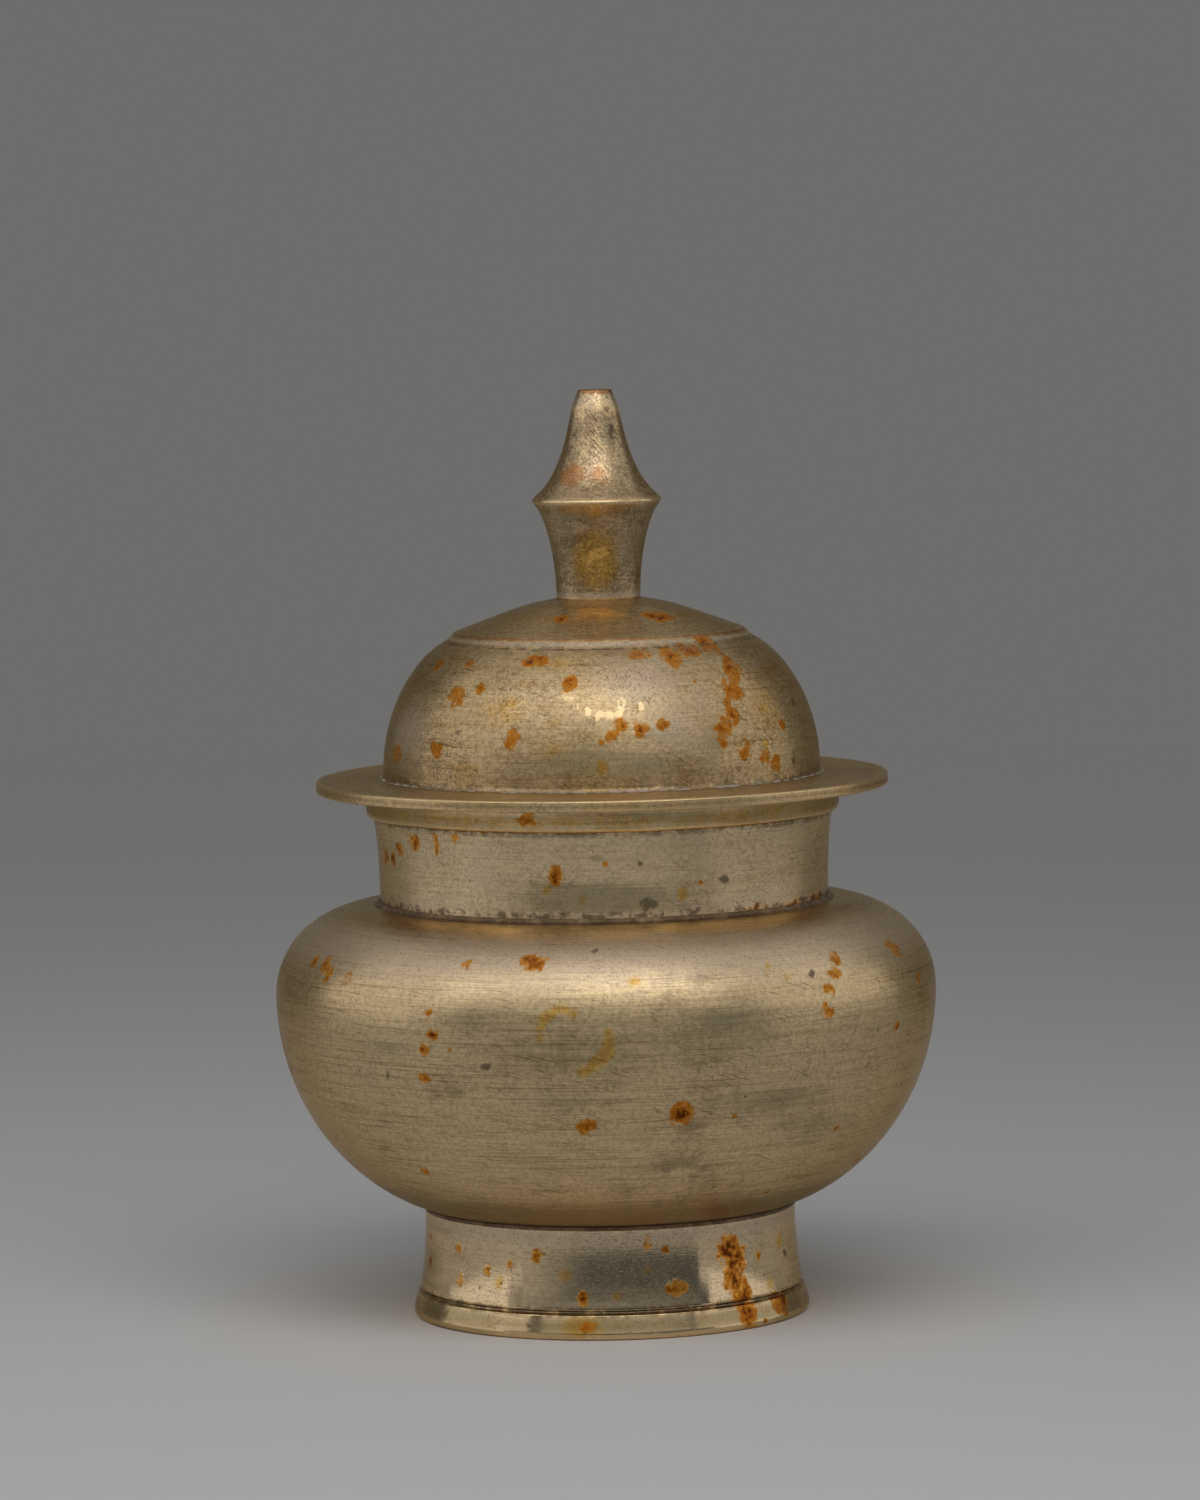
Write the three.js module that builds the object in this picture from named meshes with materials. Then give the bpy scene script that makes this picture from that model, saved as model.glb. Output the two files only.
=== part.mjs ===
// A lidded brass offering pot. Every piece is turned on a lathe: a foot ring and a neck collar are soldered
// to a round bowl, and a brimmed lid with a riveted finial lifts off the neck.
// Millimetres, +Z up, with the origin on the table under the middle of the foot.
import * as THREE from "three";

// Foot ring
const FOOT_TOP_RADIUS = 25.6; // outside, where the foot meets the bowl
const FOOT_FLARE = 0.85; // the wall spreads by this much on its way down
const FOOT_WALL = 1.8;
const TOE_PROJECTION = 1.0; // the toe stands out past the wall above it
const TOE_HEIGHT = 3.35; // up to the toe's worn edge
const TOE_TAPER = 0.65; // the toe's side leans in by this much
const TOE_BEVEL = 0.15; // height of the slope from the worn edge back to the wall
const TOE_ROUND = 0.9; // rounded lower edge
const TOE_WIDTH = 3.55; // of the ring's underside with its rounded edge
const SCRIBE_WIDTH = 0.5; // V-shaped line cut above the toe
const SCRIBE_DEPTH = 0.22;

// Bowl
const FLOOR_HEIGHT = 13.9; // underside of the floor above the table
const FLOOR_INSET = 6.4; // the flat of the floor ends this far inside the foot
const UNDERSIDE_RISE = 31.0; // floor to belly
const BELLY_REACH = 14.67; // the belly swells out past the neck
const SHOULDER_RISE = 12.2; // belly to the flat land that carries the neck
const BOWL_WALL = 1.6;

// Neck collar and its lip
const NECK_RADIUS = 30.95; // outside, at the shoulder
const NECK_HEIGHT = 12.35; // land to the underside of the lip
const NECK_FLARE = 0.75;
const NECK_WALL = 1.65;
const SPIGOT_WALL = 0.85; // stub below the neck that drops into the bowl's opening
const SPIGOT_STAND = 0.4; // the stub shows this much inside the bowl
const LIP_HEIGHT = 3.45;
const LIP_LEDGE = 0.2; // flat of the lip's underside
const LIP_ROUND = 0.7; // rounded lower edge
const LIP_LEAN = 0.35; // the lip's side leans out towards the mouth

// Lid
const BRIM_OVERHANG = 6.5; // past the lip
const BRIM_EDGE = 1.5; // thickness at the rim
const BRIM_ROOT = 1.75; // thickness at the dome
const BRIM_BREAK = 0.15; // bevel on the rim's two sharp edges
const DOME_FILLET = 0.75;
const DOME_RISE = 19.1; // top face of the rim to the foot of the crown
const MOUTH_WALL = 1.2; // of the dome round the bezel's seat
const BEZEL_LEDGE = 0.5; // step that stops the bezel, so the dome's wall is this much thicker
const CROWN_FOOT_INSET = 9.1; // dome's foot to the foot of the crown
const CROWN_BEVEL = 1.1; // the bevel round the crown, inwards and up
const CROWN_RISE = 4.8; // ridge to the finial's pad
const PAD_LEDGE = 0.3; // the pad shows this much round the finial

// Bezel, the hoop inside the lid that keeps it centred in the neck
const BEZEL_WALL = 1.2;
const BEZEL_DROP = 6.0; // below the brim
const BEZEL_LEAD = 0.6; // bevelled lower edge

// Finial and its rivet
const FINIAL_BASE_RADIUS = 5.75;
const CUP_RISE = 13.0; // base to the underside of the sharp ridge
const RIDGE_RADIUS = 8.9;
const RIDGE_EDGE = 0.2; // thickness of the worn ridge
const SPIRE_RISE = 15.05; // ridge to tip
const SPIRE_SHOULDER_RADIUS = 3.35; // where the spire's flank turns in to the blunt tip
const SPIRE_SHOULDER_DROP = 3.05; // of that place, below the tip
const TIP_RADIUS = 2.35;
const TIP_ROUND = 0.25;
const TENON_RADIUS = 2.4;
const WASHER_RADIUS = 5.0;
const WASHER_THICKNESS = 1.0;
const WASHER_MARGIN = 0.8; // flat of the lid's underside round the washer
const RIVET_OVERLAP = 1.4; // the peened head spreads past the tenon
const RIVET_HEIGHT = 1.2;

// Solder fillets in the two outer corners
const FOOT_SOLDER_WIDTH = 0.6;
const FOOT_SOLDER_HEIGHT = 0.55;
const NECK_SOLDER_WIDTH = 0.85;
const NECK_SOLDER_HEIGHT = 0.8;

// Clearances
const SEAT_CLEARANCE = 0.12; // between pieces that locate one another
const SOLDER_CLEARANCE = 0.1;
const LID_CLEARANCE = 0.45; // bezel in the neck
const TENON_CLEARANCE = 0.2;

// Fullness of the free curves: each handle as a share of the side it lies along
const SHOULDER_UPRIGHT = 0.5;
const SHOULDER_LEVEL = 0.65;
const DOME_UPRIGHT = 0.43;
const DOME_TOP_SLOPE = 0.51; // rise over run where the dome meets the crown
const DOME_TOP_REACH = 0.58;
const NECK_UPRIGHT = 0.28;
const NECK_LEAN = 0.24; // rise of the handle under the lip, with its run given by the next value
const NECK_LEAN_REACH = 0.8;
const CUP_UPRIGHT = 0.39;
const CUP_LEAN = 0.03;
const CUP_RIM_RUN = 0.61;
const CUP_RIM_DROP = 0.16;
const SPIRE_RIM_RUN = 0.145;
const SPIRE_RIM_RISE = 0.103;
const SPIRE_SHOULDER_RUN = 0.335;
const SPIRE_SHOULDER_FALL = 0.836;
const TIP_RUN = 0.17;
const TIP_RISE = 0.3;
const CROWN_PAD_RUN = 0.16;
const CROWN_PAD_DROP = 0.1;
const SOLDER_HOLLOW = 0.3; // how far a fillet's face stays from its corner

// Facets
const SEGMENTS = 48; // round the pot
const FINIAL_SEGMENTS = 32;
const LONG_CURVE = 10; // steps along a belly or a dome
const INSIDE_CURVE = 7; // steps along the same curve inside
const SHORT_CURVE = 5;
const EDGE_CURVE = 3; // steps round a small edge

// Radii that follow from the sizes above
const footInside = FOOT_TOP_RADIUS - FOOT_WALL;
const footSkirt = FOOT_TOP_RADIUS + FOOT_FLARE;
const toeRadius = footSkirt + TOE_PROJECTION;
const floorRadius = footInside - FLOOR_INSET;
const bellyRadius = NECK_RADIUS + BELLY_REACH;
const landRadius = NECK_RADIUS + NECK_SOLDER_WIDTH;
const neckBore = NECK_RADIUS - NECK_WALL;
const spigotRadius = neckBore + SPIGOT_WALL;
const bowlOpening = spigotRadius + SEAT_CLEARANCE;
const neckTop = NECK_RADIUS + NECK_FLARE;
const lipFoot = neckTop + LIP_LEDGE + LIP_ROUND;
const lipRadius = lipFoot + LIP_LEAN;
const brimRadius = lipRadius + BRIM_OVERHANG;
const bezelRadius = neckBore - LID_CLEARANCE;
const lidMouth = bezelRadius + SEAT_CLEARANCE;
const domeRadius = lidMouth + MOUTH_WALL;
const lidWall = MOUTH_WALL + BEZEL_LEDGE;
const crownFoot = domeRadius - CROWN_FOOT_INSET;
const crownRidge = crownFoot - CROWN_BEVEL;
const padRadius = FINIAL_BASE_RADIUS + PAD_LEDGE;
const tenonHole = TENON_RADIUS + TENON_CLEARANCE;
const rivetRadius = TENON_RADIUS + RIVET_OVERLAP;

// Heights in the pot, from the table
const bellyHeight = FLOOR_HEIGHT + UNDERSIDE_RISE;
const landHeight = bellyHeight + SHOULDER_RISE;
const lipHeight = landHeight + NECK_HEIGHT;
const mouthHeight = lipHeight + LIP_HEIGHT;

// Heights in the lid, from the brim's underside
const domeFoot = BRIM_ROOT + DOME_FILLET;
const domeTop = BRIM_EDGE + DOME_RISE;
const ridgeHeight = domeTop + CROWN_BEVEL;
const padHeight = ridgeHeight + CROWN_RISE;

const potBrass = new THREE.MeshStandardMaterial({ color: 0x97896a, metalness: 1, roughness: 0.42 });
const lidBrass = new THREE.MeshStandardMaterial({ color: 0xa48a5a, metalness: 1, roughness: 0.4 });
const finialBrass = new THREE.MeshStandardMaterial({ color: 0xa39068, metalness: 1, roughness: 0.38 });
const solder = new THREE.MeshStandardMaterial({ color: 0xb09c86, metalness: 0.6, roughness: 0.7 });

const at = (radius, height) => new THREE.Vector2(radius, height);

function bend(from, corner, to, steps) {
  return new THREE.QuadraticBezierCurve(from, corner, to).getPoints(steps);
}

// The inside face of a wall, run the other way: each point of the outside moved square to its curve.
function insideFace(outside, wall) {
  const points = [];
  for (let i = INSIDE_CURVE; i >= 0; i -= 1) {
    const share = i / INSIDE_CURVE;
    const along = outside.getTangent(share);
    points.push(outside.getPoint(share).add(at(-along.y * wall, along.x * wall)));
  }
  return points;
}

// A turned piece: the outline runs up the outside and down the inside, in radius and height.
function turned(name, outline, material, segments = SEGMENTS) {
  const geometry = new THREE.LatheGeometry(outline, segments);
  geometry.rotateX(Math.PI / 2);
  const mesh = new THREE.Mesh(geometry, material);
  mesh.name = name;
  return mesh;
}

// A ring's outline comes back to its first point.
const ring = (outline) => [...outline, outline[0].clone()];

// The bowl's underside is a quarter of an ellipse that starts level at the floor and ends upright at the belly.
const undersideReach = bellyRadius - floorRadius;
const undersideAngle = (radius) => -Math.acos((radius - floorRadius) / undersideReach);
const undersideHeight = (radius) => bellyHeight + UNDERSIDE_RISE * Math.sin(undersideAngle(radius));

function underside(fromRadius, toRadius) {
  const start = undersideAngle(fromRadius);
  const end = undersideAngle(toRadius);
  return new THREE.EllipseCurve(floorRadius, bellyHeight, undersideReach, UNDERSIDE_RISE, start, end);
}

const seatHeight = undersideHeight(FOOT_TOP_RADIUS);

function footRing() {
  const skirtHeight = TOE_HEIGHT + TOE_BEVEL + SCRIBE_WIDTH;
  const scribeHeight = skirtHeight - SCRIBE_WIDTH / 2;
  const toeEdge = at(toeRadius - TOE_TAPER, TOE_HEIGHT);
  const toe = bend(at(toeRadius - TOE_ROUND, 0), at(toeRadius, 0), at(toeRadius, TOE_ROUND), EDGE_CURVE);
  const waist = at(FOOT_TOP_RADIUS, (skirtHeight + seatHeight) / 2);
  const wall = bend(at(footSkirt, skirtHeight), waist, at(FOOT_TOP_RADIUS, seatHeight), SHORT_CURVE);
  const outline = [
    at(toeRadius - TOE_WIDTH, 0),
    ...toe,
    toeEdge,
    at(footSkirt, TOE_HEIGHT + TOE_BEVEL),
    at(footSkirt - SCRIBE_DEPTH, scribeHeight),
    ...wall,
    at(footInside, seatHeight),
  ];
  return turned("foot_ring", ring(outline), potBrass);
}

// The foot's top edge stands in a flat seat cut into the bowl, round a low boss that centres it.
function bowl() {
  const bossRadius = footInside - SEAT_CLEARANCE;
  const level = at(landRadius + SHOULDER_LEVEL * (bellyRadius - landRadius), landHeight);
  const upright = at(bellyRadius, bellyHeight + SHOULDER_UPRIGHT * SHOULDER_RISE);
  const belly = at(bellyRadius, bellyHeight);
  const shoulder = new THREE.CubicBezierCurve(belly, upright, level, at(landRadius, landHeight));
  const outline = [
    at(0, FLOOR_HEIGHT),
    ...underside(floorRadius, bossRadius).getPoints(EDGE_CURVE),
    at(bossRadius, seatHeight),
    ...underside(FOOT_TOP_RADIUS, bellyRadius).getPoints(LONG_CURVE),
    ...shoulder.getPoints(LONG_CURVE).slice(1),
    at(bowlOpening, landHeight),
    at(bowlOpening, landHeight - BOWL_WALL),
    ...insideFace(shoulder, BOWL_WALL),
    ...insideFace(underside(floorRadius, bellyRadius), BOWL_WALL).slice(1),
    at(0, FLOOR_HEIGHT + BOWL_WALL),
  ];
  return turned("bowl", outline, potBrass);
}

function footSolder() {
  const inner = FOOT_TOP_RADIUS + SOLDER_CLEARANCE;
  const outer = FOOT_TOP_RADIUS + FOOT_SOLDER_WIDTH;
  const low = at(inner, seatHeight - FOOT_SOLDER_HEIGHT);
  const corner = at(inner, undersideHeight(inner) - SOLDER_CLEARANCE);
  const high = at(outer, undersideHeight(outer) - SOLDER_CLEARANCE);
  const hollow = corner.clone().lerp(low.clone().lerp(high, 0.5), SOLDER_HOLLOW);
  return turned("foot_solder_fillet", ring([...bend(low, hollow, high, EDGE_CURVE), corner]), solder);
}

function neckSolder() {
  const inner = NECK_RADIUS + SOLDER_CLEARANCE;
  const corner = at(inner, landHeight);
  const low = at(landRadius, landHeight);
  const high = at(inner, landHeight + NECK_SOLDER_HEIGHT);
  const hollow = corner.clone().lerp(low.clone().lerp(high, 0.5), SOLDER_HOLLOW);
  return turned("neck_solder_fillet", ring([corner, ...bend(low, hollow, high, EDGE_CURVE)]), solder);
}

// The collar's shoulder stands flat on the bowl's land, and its stub drops through the opening.
function neckCollar() {
  const stubFoot = landHeight - BOWL_WALL - SPIGOT_STAND;
  const upright = at(NECK_RADIUS, landHeight + NECK_UPRIGHT * NECK_HEIGHT);
  const lean = at(NECK_RADIUS + (1 - NECK_LEAN_REACH) * NECK_FLARE, lipHeight - NECK_LEAN * NECK_HEIGHT);
  const wall = new THREE.CubicBezierCurve(at(NECK_RADIUS, landHeight), upright, lean, at(neckTop, lipHeight));
  const lipEdge = bend(
    at(lipFoot - LIP_ROUND, lipHeight),
    at(lipFoot, lipHeight),
    at(lipFoot, lipHeight + LIP_ROUND),
    EDGE_CURVE,
  );
  const outline = [
    at(neckBore, stubFoot),
    at(spigotRadius, stubFoot),
    at(spigotRadius, landHeight),
    ...wall.getPoints(SHORT_CURVE),
    ...lipEdge,
    at(lipRadius, mouthHeight),
    at(neckBore, mouthHeight),
  ];
  return turned("neck_collar", ring(outline), potBrass);
}

// A line from the crown's ridge up to its pad, a little fuller than straight.
function crownSlope(from, to) {
  const run = from.x - to.x;
  const rise = to.y - from.y;
  return bend(from, at(to.x + CROWN_PAD_RUN * run, to.y - CROWN_PAD_DROP * rise), to, SHORT_CURVE);
}

function lidShell() {
  const domeHeight = domeTop - domeFoot;
  const upright = at(domeRadius, domeFoot + DOME_UPRIGHT * domeHeight);
  const topReach = DOME_TOP_REACH * CROWN_FOOT_INSET;
  const slope = at(crownFoot + topReach, domeTop - DOME_TOP_SLOPE * topReach);
  const dome = new THREE.CubicBezierCurve(at(domeRadius, domeFoot), upright, slope, at(crownFoot, domeTop));
  const fillet = bend(
    at(domeRadius + DOME_FILLET, BRIM_ROOT),
    at(domeRadius, BRIM_ROOT),
    at(domeRadius, domeFoot),
    EDGE_CURVE,
  );
  const ceiling = padHeight - lidWall;
  const domeInside = insideFace(dome, lidWall);
  const crownInside = crownSlope(domeInside[0], at(WASHER_RADIUS + WASHER_MARGIN, ceiling));
  const outline = [
    at(lidMouth, 0),
    at(brimRadius - BRIM_BREAK, 0),
    at(brimRadius, BRIM_BREAK),
    at(brimRadius, BRIM_EDGE - BRIM_BREAK),
    at(brimRadius - BRIM_BREAK, BRIM_EDGE),
    ...fillet,
    ...dome.getPoints(LONG_CURVE).slice(1),
    ...crownSlope(at(crownRidge, ridgeHeight), at(padRadius, padHeight)),
    at(tenonHole, padHeight),
    at(tenonHole, ceiling),
    ...crownInside.reverse(),
    ...domeInside.slice(1),
    at(lidMouth, domeFoot),
  ];
  return turned("lid_shell", ring(outline), lidBrass);
}

// The hoop's top edge bears on the ledge inside the dome.
function lidBezel() {
  const outline = [
    at(bezelRadius - BEZEL_WALL, -BEZEL_DROP),
    at(bezelRadius - BEZEL_LEAD, -BEZEL_DROP),
    at(bezelRadius, BEZEL_LEAD - BEZEL_DROP),
    at(bezelRadius, domeFoot),
    at(bezelRadius - BEZEL_WALL, domeFoot),
  ];
  return turned("lid_bezel", ring(outline), lidBrass);
}

// The finial's tenon goes through the lid and a washer, and its end is peened over into a low head.
function finial() {
  const head = -lidWall - WASHER_THICKNESS;
  const headFoot = head - RIVET_HEIGHT;
  const cupReach = RIDGE_RADIUS - FINIAL_BASE_RADIUS;
  const spireReach = RIDGE_RADIUS - SPIRE_SHOULDER_RADIUS;
  const spireHeight = SPIRE_RISE - SPIRE_SHOULDER_DROP;
  const tipReach = SPIRE_SHOULDER_RADIUS - TIP_RADIUS;
  const spireFoot = CUP_RISE + RIDGE_EDGE;
  const tip = spireFoot + SPIRE_RISE;
  const cup = new THREE.CubicBezierCurve(
    at(FINIAL_BASE_RADIUS, 0),
    at(FINIAL_BASE_RADIUS + CUP_LEAN * cupReach, CUP_UPRIGHT * CUP_RISE),
    at(RIDGE_RADIUS - CUP_RIM_RUN * cupReach, CUP_RISE - CUP_RIM_DROP * CUP_RISE),
    at(RIDGE_RADIUS, CUP_RISE),
  );
  const spireShoulder = at(SPIRE_SHOULDER_RADIUS, spireFoot + spireHeight);
  const spire = new THREE.CubicBezierCurve(
    at(RIDGE_RADIUS, spireFoot),
    at(RIDGE_RADIUS - SPIRE_RIM_RUN * spireReach, spireFoot + SPIRE_RIM_RISE * spireHeight),
    at(SPIRE_SHOULDER_RADIUS + SPIRE_SHOULDER_RUN * spireReach, spireShoulder.y - SPIRE_SHOULDER_FALL * spireHeight),
    spireShoulder,
  );
  const tipHandle = at(SPIRE_SHOULDER_RADIUS - TIP_RUN * tipReach, tip - (1 - TIP_RISE) * SPIRE_SHOULDER_DROP);
  const tipFoot = at(TIP_RADIUS, tip - TIP_ROUND);
  const tipFlank = bend(spireShoulder, tipHandle, tipFoot, SHORT_CURVE);
  const tipEdge = bend(tipFoot, at(TIP_RADIUS, tip), at(TIP_RADIUS - TIP_ROUND, tip), EDGE_CURVE);
  const outline = [
    ...bend(at(0, headFoot), at(rivetRadius, headFoot), at(rivetRadius, head), EDGE_CURVE),
    at(TENON_RADIUS, head),
    at(TENON_RADIUS, 0),
    ...cup.getPoints(SHORT_CURVE),
    ...spire.getPoints(LONG_CURVE),
    ...tipFlank.slice(1),
    ...tipEdge.slice(1),
    at(0, tip),
  ];
  return turned("finial", outline, finialBrass, FINIAL_SEGMENTS);
}

function finialWasher() {
  const top = -lidWall;
  const outline = [
    at(tenonHole, top - WASHER_THICKNESS),
    at(WASHER_RADIUS, top - WASHER_THICKNESS),
    at(WASHER_RADIUS, top),
    at(tenonHole, top),
  ];
  return turned("finial_washer", ring(outline), finialBrass, FINIAL_SEGMENTS);
}

const knob = new THREE.Group();
knob.position.z = padHeight;
knob.add(finial(), finialWasher());

const lid = new THREE.Group();
lid.position.z = mouthHeight;
lid.add(lidShell(), lidBezel(), knob);

const offeringPot = new THREE.Group();
offeringPot.add(footRing(), footSolder(), bowl(), neckSolder(), neckCollar(), lid);

export default offeringPot;
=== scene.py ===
"""Looks of a lidded brass offering pot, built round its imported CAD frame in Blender 4.5."""

import math

import bmesh
import bpy
import numpy as np
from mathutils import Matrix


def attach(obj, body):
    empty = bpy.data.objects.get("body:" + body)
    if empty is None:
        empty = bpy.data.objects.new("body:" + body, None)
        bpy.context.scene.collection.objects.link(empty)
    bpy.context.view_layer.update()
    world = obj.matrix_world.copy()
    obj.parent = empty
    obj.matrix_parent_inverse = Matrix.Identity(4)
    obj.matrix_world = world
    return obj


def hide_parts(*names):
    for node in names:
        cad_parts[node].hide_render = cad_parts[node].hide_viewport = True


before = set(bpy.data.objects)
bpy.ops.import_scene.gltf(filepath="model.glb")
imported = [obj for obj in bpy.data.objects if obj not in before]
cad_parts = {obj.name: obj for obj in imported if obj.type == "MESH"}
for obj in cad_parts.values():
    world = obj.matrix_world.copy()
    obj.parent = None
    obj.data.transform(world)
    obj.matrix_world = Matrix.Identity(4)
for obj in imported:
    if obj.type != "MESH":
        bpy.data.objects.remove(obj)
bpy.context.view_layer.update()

MM = 0.001

# Camera: place in metres, turns in degrees and lens in mm, with the picture's long side on the sensor width
CAMERA_BACK = 0.9973
CAMERA_HEIGHT = 0.1621
CAMERA_ASIDE = -0.0002
CAMERA_PITCH = 4.826
CAMERA_ROLL = 1.101
CAMERA_LENS = 174.0

# Reading the turned outlines off the CAD nodes, in millimetres and degrees
CUT_FLATNESS = 0.002
SURE_EDGE = 40.0
LONE_EDGE = 12.0
EDGE_ROUND = 0.16
ROUND_STEPS = 4
NEAR_EDGE_STEPS = (0.18, 0.45, 0.9)
STRAIGHT_RATIO = 3.0
INSIDE_COARSER = 2.0
SPINDLE = 10.0
LIKE_BEND = 0.5
ROUND_SHARE = 0.3
NEAR_EDGE_SHARE = 0.8
SHORTEST_REACH = 0.02
POLE_MERGE = 0.0005

# Wear at edges, and dirt with painted shade in corners: how tight a curve has them, where they are full,
# and their reach in mm
TIGHT_CURVE = 0.3
FULL_WEAR_CURVE = 1.6
FULL_DIRT_AND_SHADE_CURVE = 1.3
WEAR_REACH = 0.38
DIRT_AND_SHADE_REACH = 0.75

# The crown rounds over to the finial's foot: how far its middle falls,
# and the radii and heights between which that eases out
CROWN_FALL = 0.45
CROWN_FALL_RADII = (6.1, 10.8)
CROWN_FALL_HEIGHTS = (99.7, 104.0)

random_marks = np.random.default_rng(913)
random_rows = np.random.default_rng(11)


def cad_outline(node):
    """Cut of a turned CAD node along +X, as (radius, height) in mm, and whether it closes on itself."""
    cut = bmesh.new()
    cut.from_mesh(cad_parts[node].data)
    bmesh.ops.remove_doubles(cut, verts=cut.verts, dist=CUT_FLATNESS * MM * 0.5)
    flat = CUT_FLATNESS * MM
    on_cut = {v for v in cut.verts if abs(v.co.y) < flat and v.co.x > -flat}
    beside = {v: [e.other_vert(v) for e in v.link_edges if e.other_vert(v) in on_cut] for v in on_cut}
    ends = [v for v in on_cut if len(beside[v]) == 1]
    closed = not ends
    start = min(ends or on_cut, key=lambda v: (v.co.z, v.co.x))
    walk = [start]
    seen = {start}
    while True:
        onward = [v for v in beside[walk[-1]] if v not in seen]
        if not onward:
            break
        walk.append(onward[0])
        seen.add(onward[0])
    if len(walk) != len(on_cut):
        raise ValueError(f"{node}: {len(walk)} of {len(on_cut)} outline points were joined up")
    points = np.array([(max(v.co.x, 0.0), v.co.z) for v in walk]) / MM
    cut.free()
    x, y = points[:, 0], points[:, 1]
    turn = np.sum(x * np.roll(y, -1) - np.roll(x, -1) * y)
    return (points if turn > 0 else points[::-1]), closed


def smooth_fall(values, full, none):
    """1 up to the first bound, 0 past the second and an easy curve between them."""
    share = np.clip((values - full) / (none - full), 0.0, 1.0)
    return 1.0 - share * share * (3.0 - 2.0 * share)


def round_crown(points):
    """Outline with the crown's middle and the finial's foot let down a little, which rounds the crown."""
    inward = smooth_fall(points[:, 0], *CROWN_FALL_RADII)
    under = smooth_fall(points[:, 1], *CROWN_FALL_HEIGHTS)
    return points - np.stack([np.zeros(len(points)), CROWN_FALL * inward * under], axis=1)


def unit(vectors):
    """Vectors along the last axis, made one long."""
    return vectors / np.maximum(np.linalg.norm(vectors, axis=-1, keepdims=True), 1e-12)


def edge_bends(points, closed):
    """Bend at each point of an outline in degrees, and which bends are edges and not steps of a curve."""
    way = unit(np.roll(points, -1, axis=0) - points)
    back = np.roll(way, 1, axis=0)
    sine = back[:, 0] * way[:, 1] - back[:, 1] * way[:, 0]
    bend = np.degrees(np.arctan2(sine, (back * way).sum(1)))
    if not closed:
        bend[[0, -1]] = 0.0
    like = np.zeros(len(points), bool)
    for side in (np.roll(bend, 1), np.roll(bend, -1)):
        like |= (side * bend > 0) & (np.abs(side) > LIKE_BEND * np.abs(bend))
    edge = (np.abs(bend) > SURE_EDGE) | ((np.abs(bend) > LONE_EDGE) & ~like)
    return way, bend, edge


def outline_knots(points, closed):
    """Points and directions that the eased outline passes through, with a small round at each edge."""
    way, bend, edge = edge_bends(points, closed)
    length = np.linalg.norm(np.roll(points, -1, axis=0) - points, axis=1)
    knots = []
    for i, point in enumerate(points):
        before = i - 1 if i else len(points) - 1
        if not closed and i in (0, len(points) - 1):
            knots.append((point, way[0] if i == 0 else way[before], None))
        elif edge[i]:
            back = min(EDGE_ROUND, ROUND_SHARE * length[before], ROUND_SHARE * length[i])
            knots.append((point - way[before] * back, way[before], point))
            knots.append((point + way[i] * back, way[i], None))
        else:
            ratio = length[before] / length[i]
            tangent = unit(way[before] * length[i] + way[i] * length[before])
            if ratio > STRAIGHT_RATIO:
                tangent = way[before]
            elif ratio < 1 / STRAIGHT_RATIO:
                tangent = way[i]
            knots.append((point, tangent, None))
    return knots


def soft_outline(points, closed, step, heart):
    """Samples of an outline with its facets eased into curves and its edges broken by a small round.

    Gives the points and the length run so far. The step is coarser where the face looks at the heart.
    """
    knots = outline_knots(points, closed)
    samples = []
    run = 0.0
    rounded = {k for k in range(len(knots)) if knots[k][2] is not None}
    for k in range(len(knots) if closed else len(knots) - 1):
        here, tangent, corner = knots[k]
        there, next_tangent, _ = knots[(k + 1) % len(knots)]
        span = there - here
        chord = float(np.linalg.norm(span))
        if corner is not None:
            shares = np.arange(ROUND_STEPS) / ROUND_STEPS
            line = [(1 - t) ** 2 * here + 2 * t * (1 - t) * corner + t * t * there for t in shares]
        else:
            looks_in = heart and (np.array(heart) - here - span / 2) @ np.array([span[1], -span[0]]) > 0
            parts = max(1, math.ceil(chord / (step * (INSIDE_COARSER if looks_in else 1.0))))
            marks = set(np.arange(parts) * chord / parts)
            if (k - 1) % len(knots) in rounded:
                marks |= {d for d in NEAR_EDGE_STEPS if d < NEAR_EDGE_SHARE * chord}
            if (k + 1) % len(knots) in rounded:
                marks |= {chord - d for d in NEAR_EDGE_STEPS if d < NEAR_EDGE_SHARE * chord}
            shares = np.array(sorted(marks)) / chord
            line = [
                (2 * t**3 - 3 * t**2 + 1) * here
                + (t**3 - 2 * t**2 + t) * chord * tangent
                + (3 * t**2 - 2 * t**3) * there
                + (t**3 - t**2) * chord * next_tangent
                for t in shares
            ]
        samples += [(*point, run + t * chord) for t, point in zip(shares, line)]
        run += chord
    if not closed:
        samples.append((*knots[-1][0], run))
    samples = np.array(samples)
    return samples[:, :2], samples[:, 2]


def edge_marks(places, along, closed):
    """How near each sample of an outline is to a worn edge and to a corner darkened by dirt and painted
    shade, from 0 to 1.
    """
    ahead = np.roll(places, -1, axis=0) - places
    behind = np.roll(ahead, 1, axis=0)
    sine = behind[:, 0] * ahead[:, 1] - behind[:, 1] * ahead[:, 0]
    bend = np.arctan2(sine, (ahead * behind).sum(1))
    reach = 0.5 * (np.linalg.norm(ahead, axis=1) + np.linalg.norm(behind, axis=1))
    curve = bend / np.maximum(reach, SHORTEST_REACH)
    if not closed:
        curve[[0, -1]] = 0.0
    wear = np.zeros(len(along))
    corner_dirt_and_painted_shade = np.zeros(len(along))
    for spot, tight in zip(along, curve):
        gap = np.abs(along - spot)
        if tight > TIGHT_CURVE:
            full = min(1.0, tight / FULL_WEAR_CURVE)
            wear = np.maximum(wear, full * np.exp(-((gap / WEAR_REACH) ** 2)))
        elif tight < -TIGHT_CURVE:
            full = min(1.0, -tight / FULL_DIRT_AND_SHADE_CURVE)
            corner_dirt_and_painted_shade = np.maximum(corner_dirt_and_painted_shade, full * np.exp(-((gap / DIRT_AND_SHADE_REACH) ** 2)))
    return wear, corner_dirt_and_painted_shade


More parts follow.
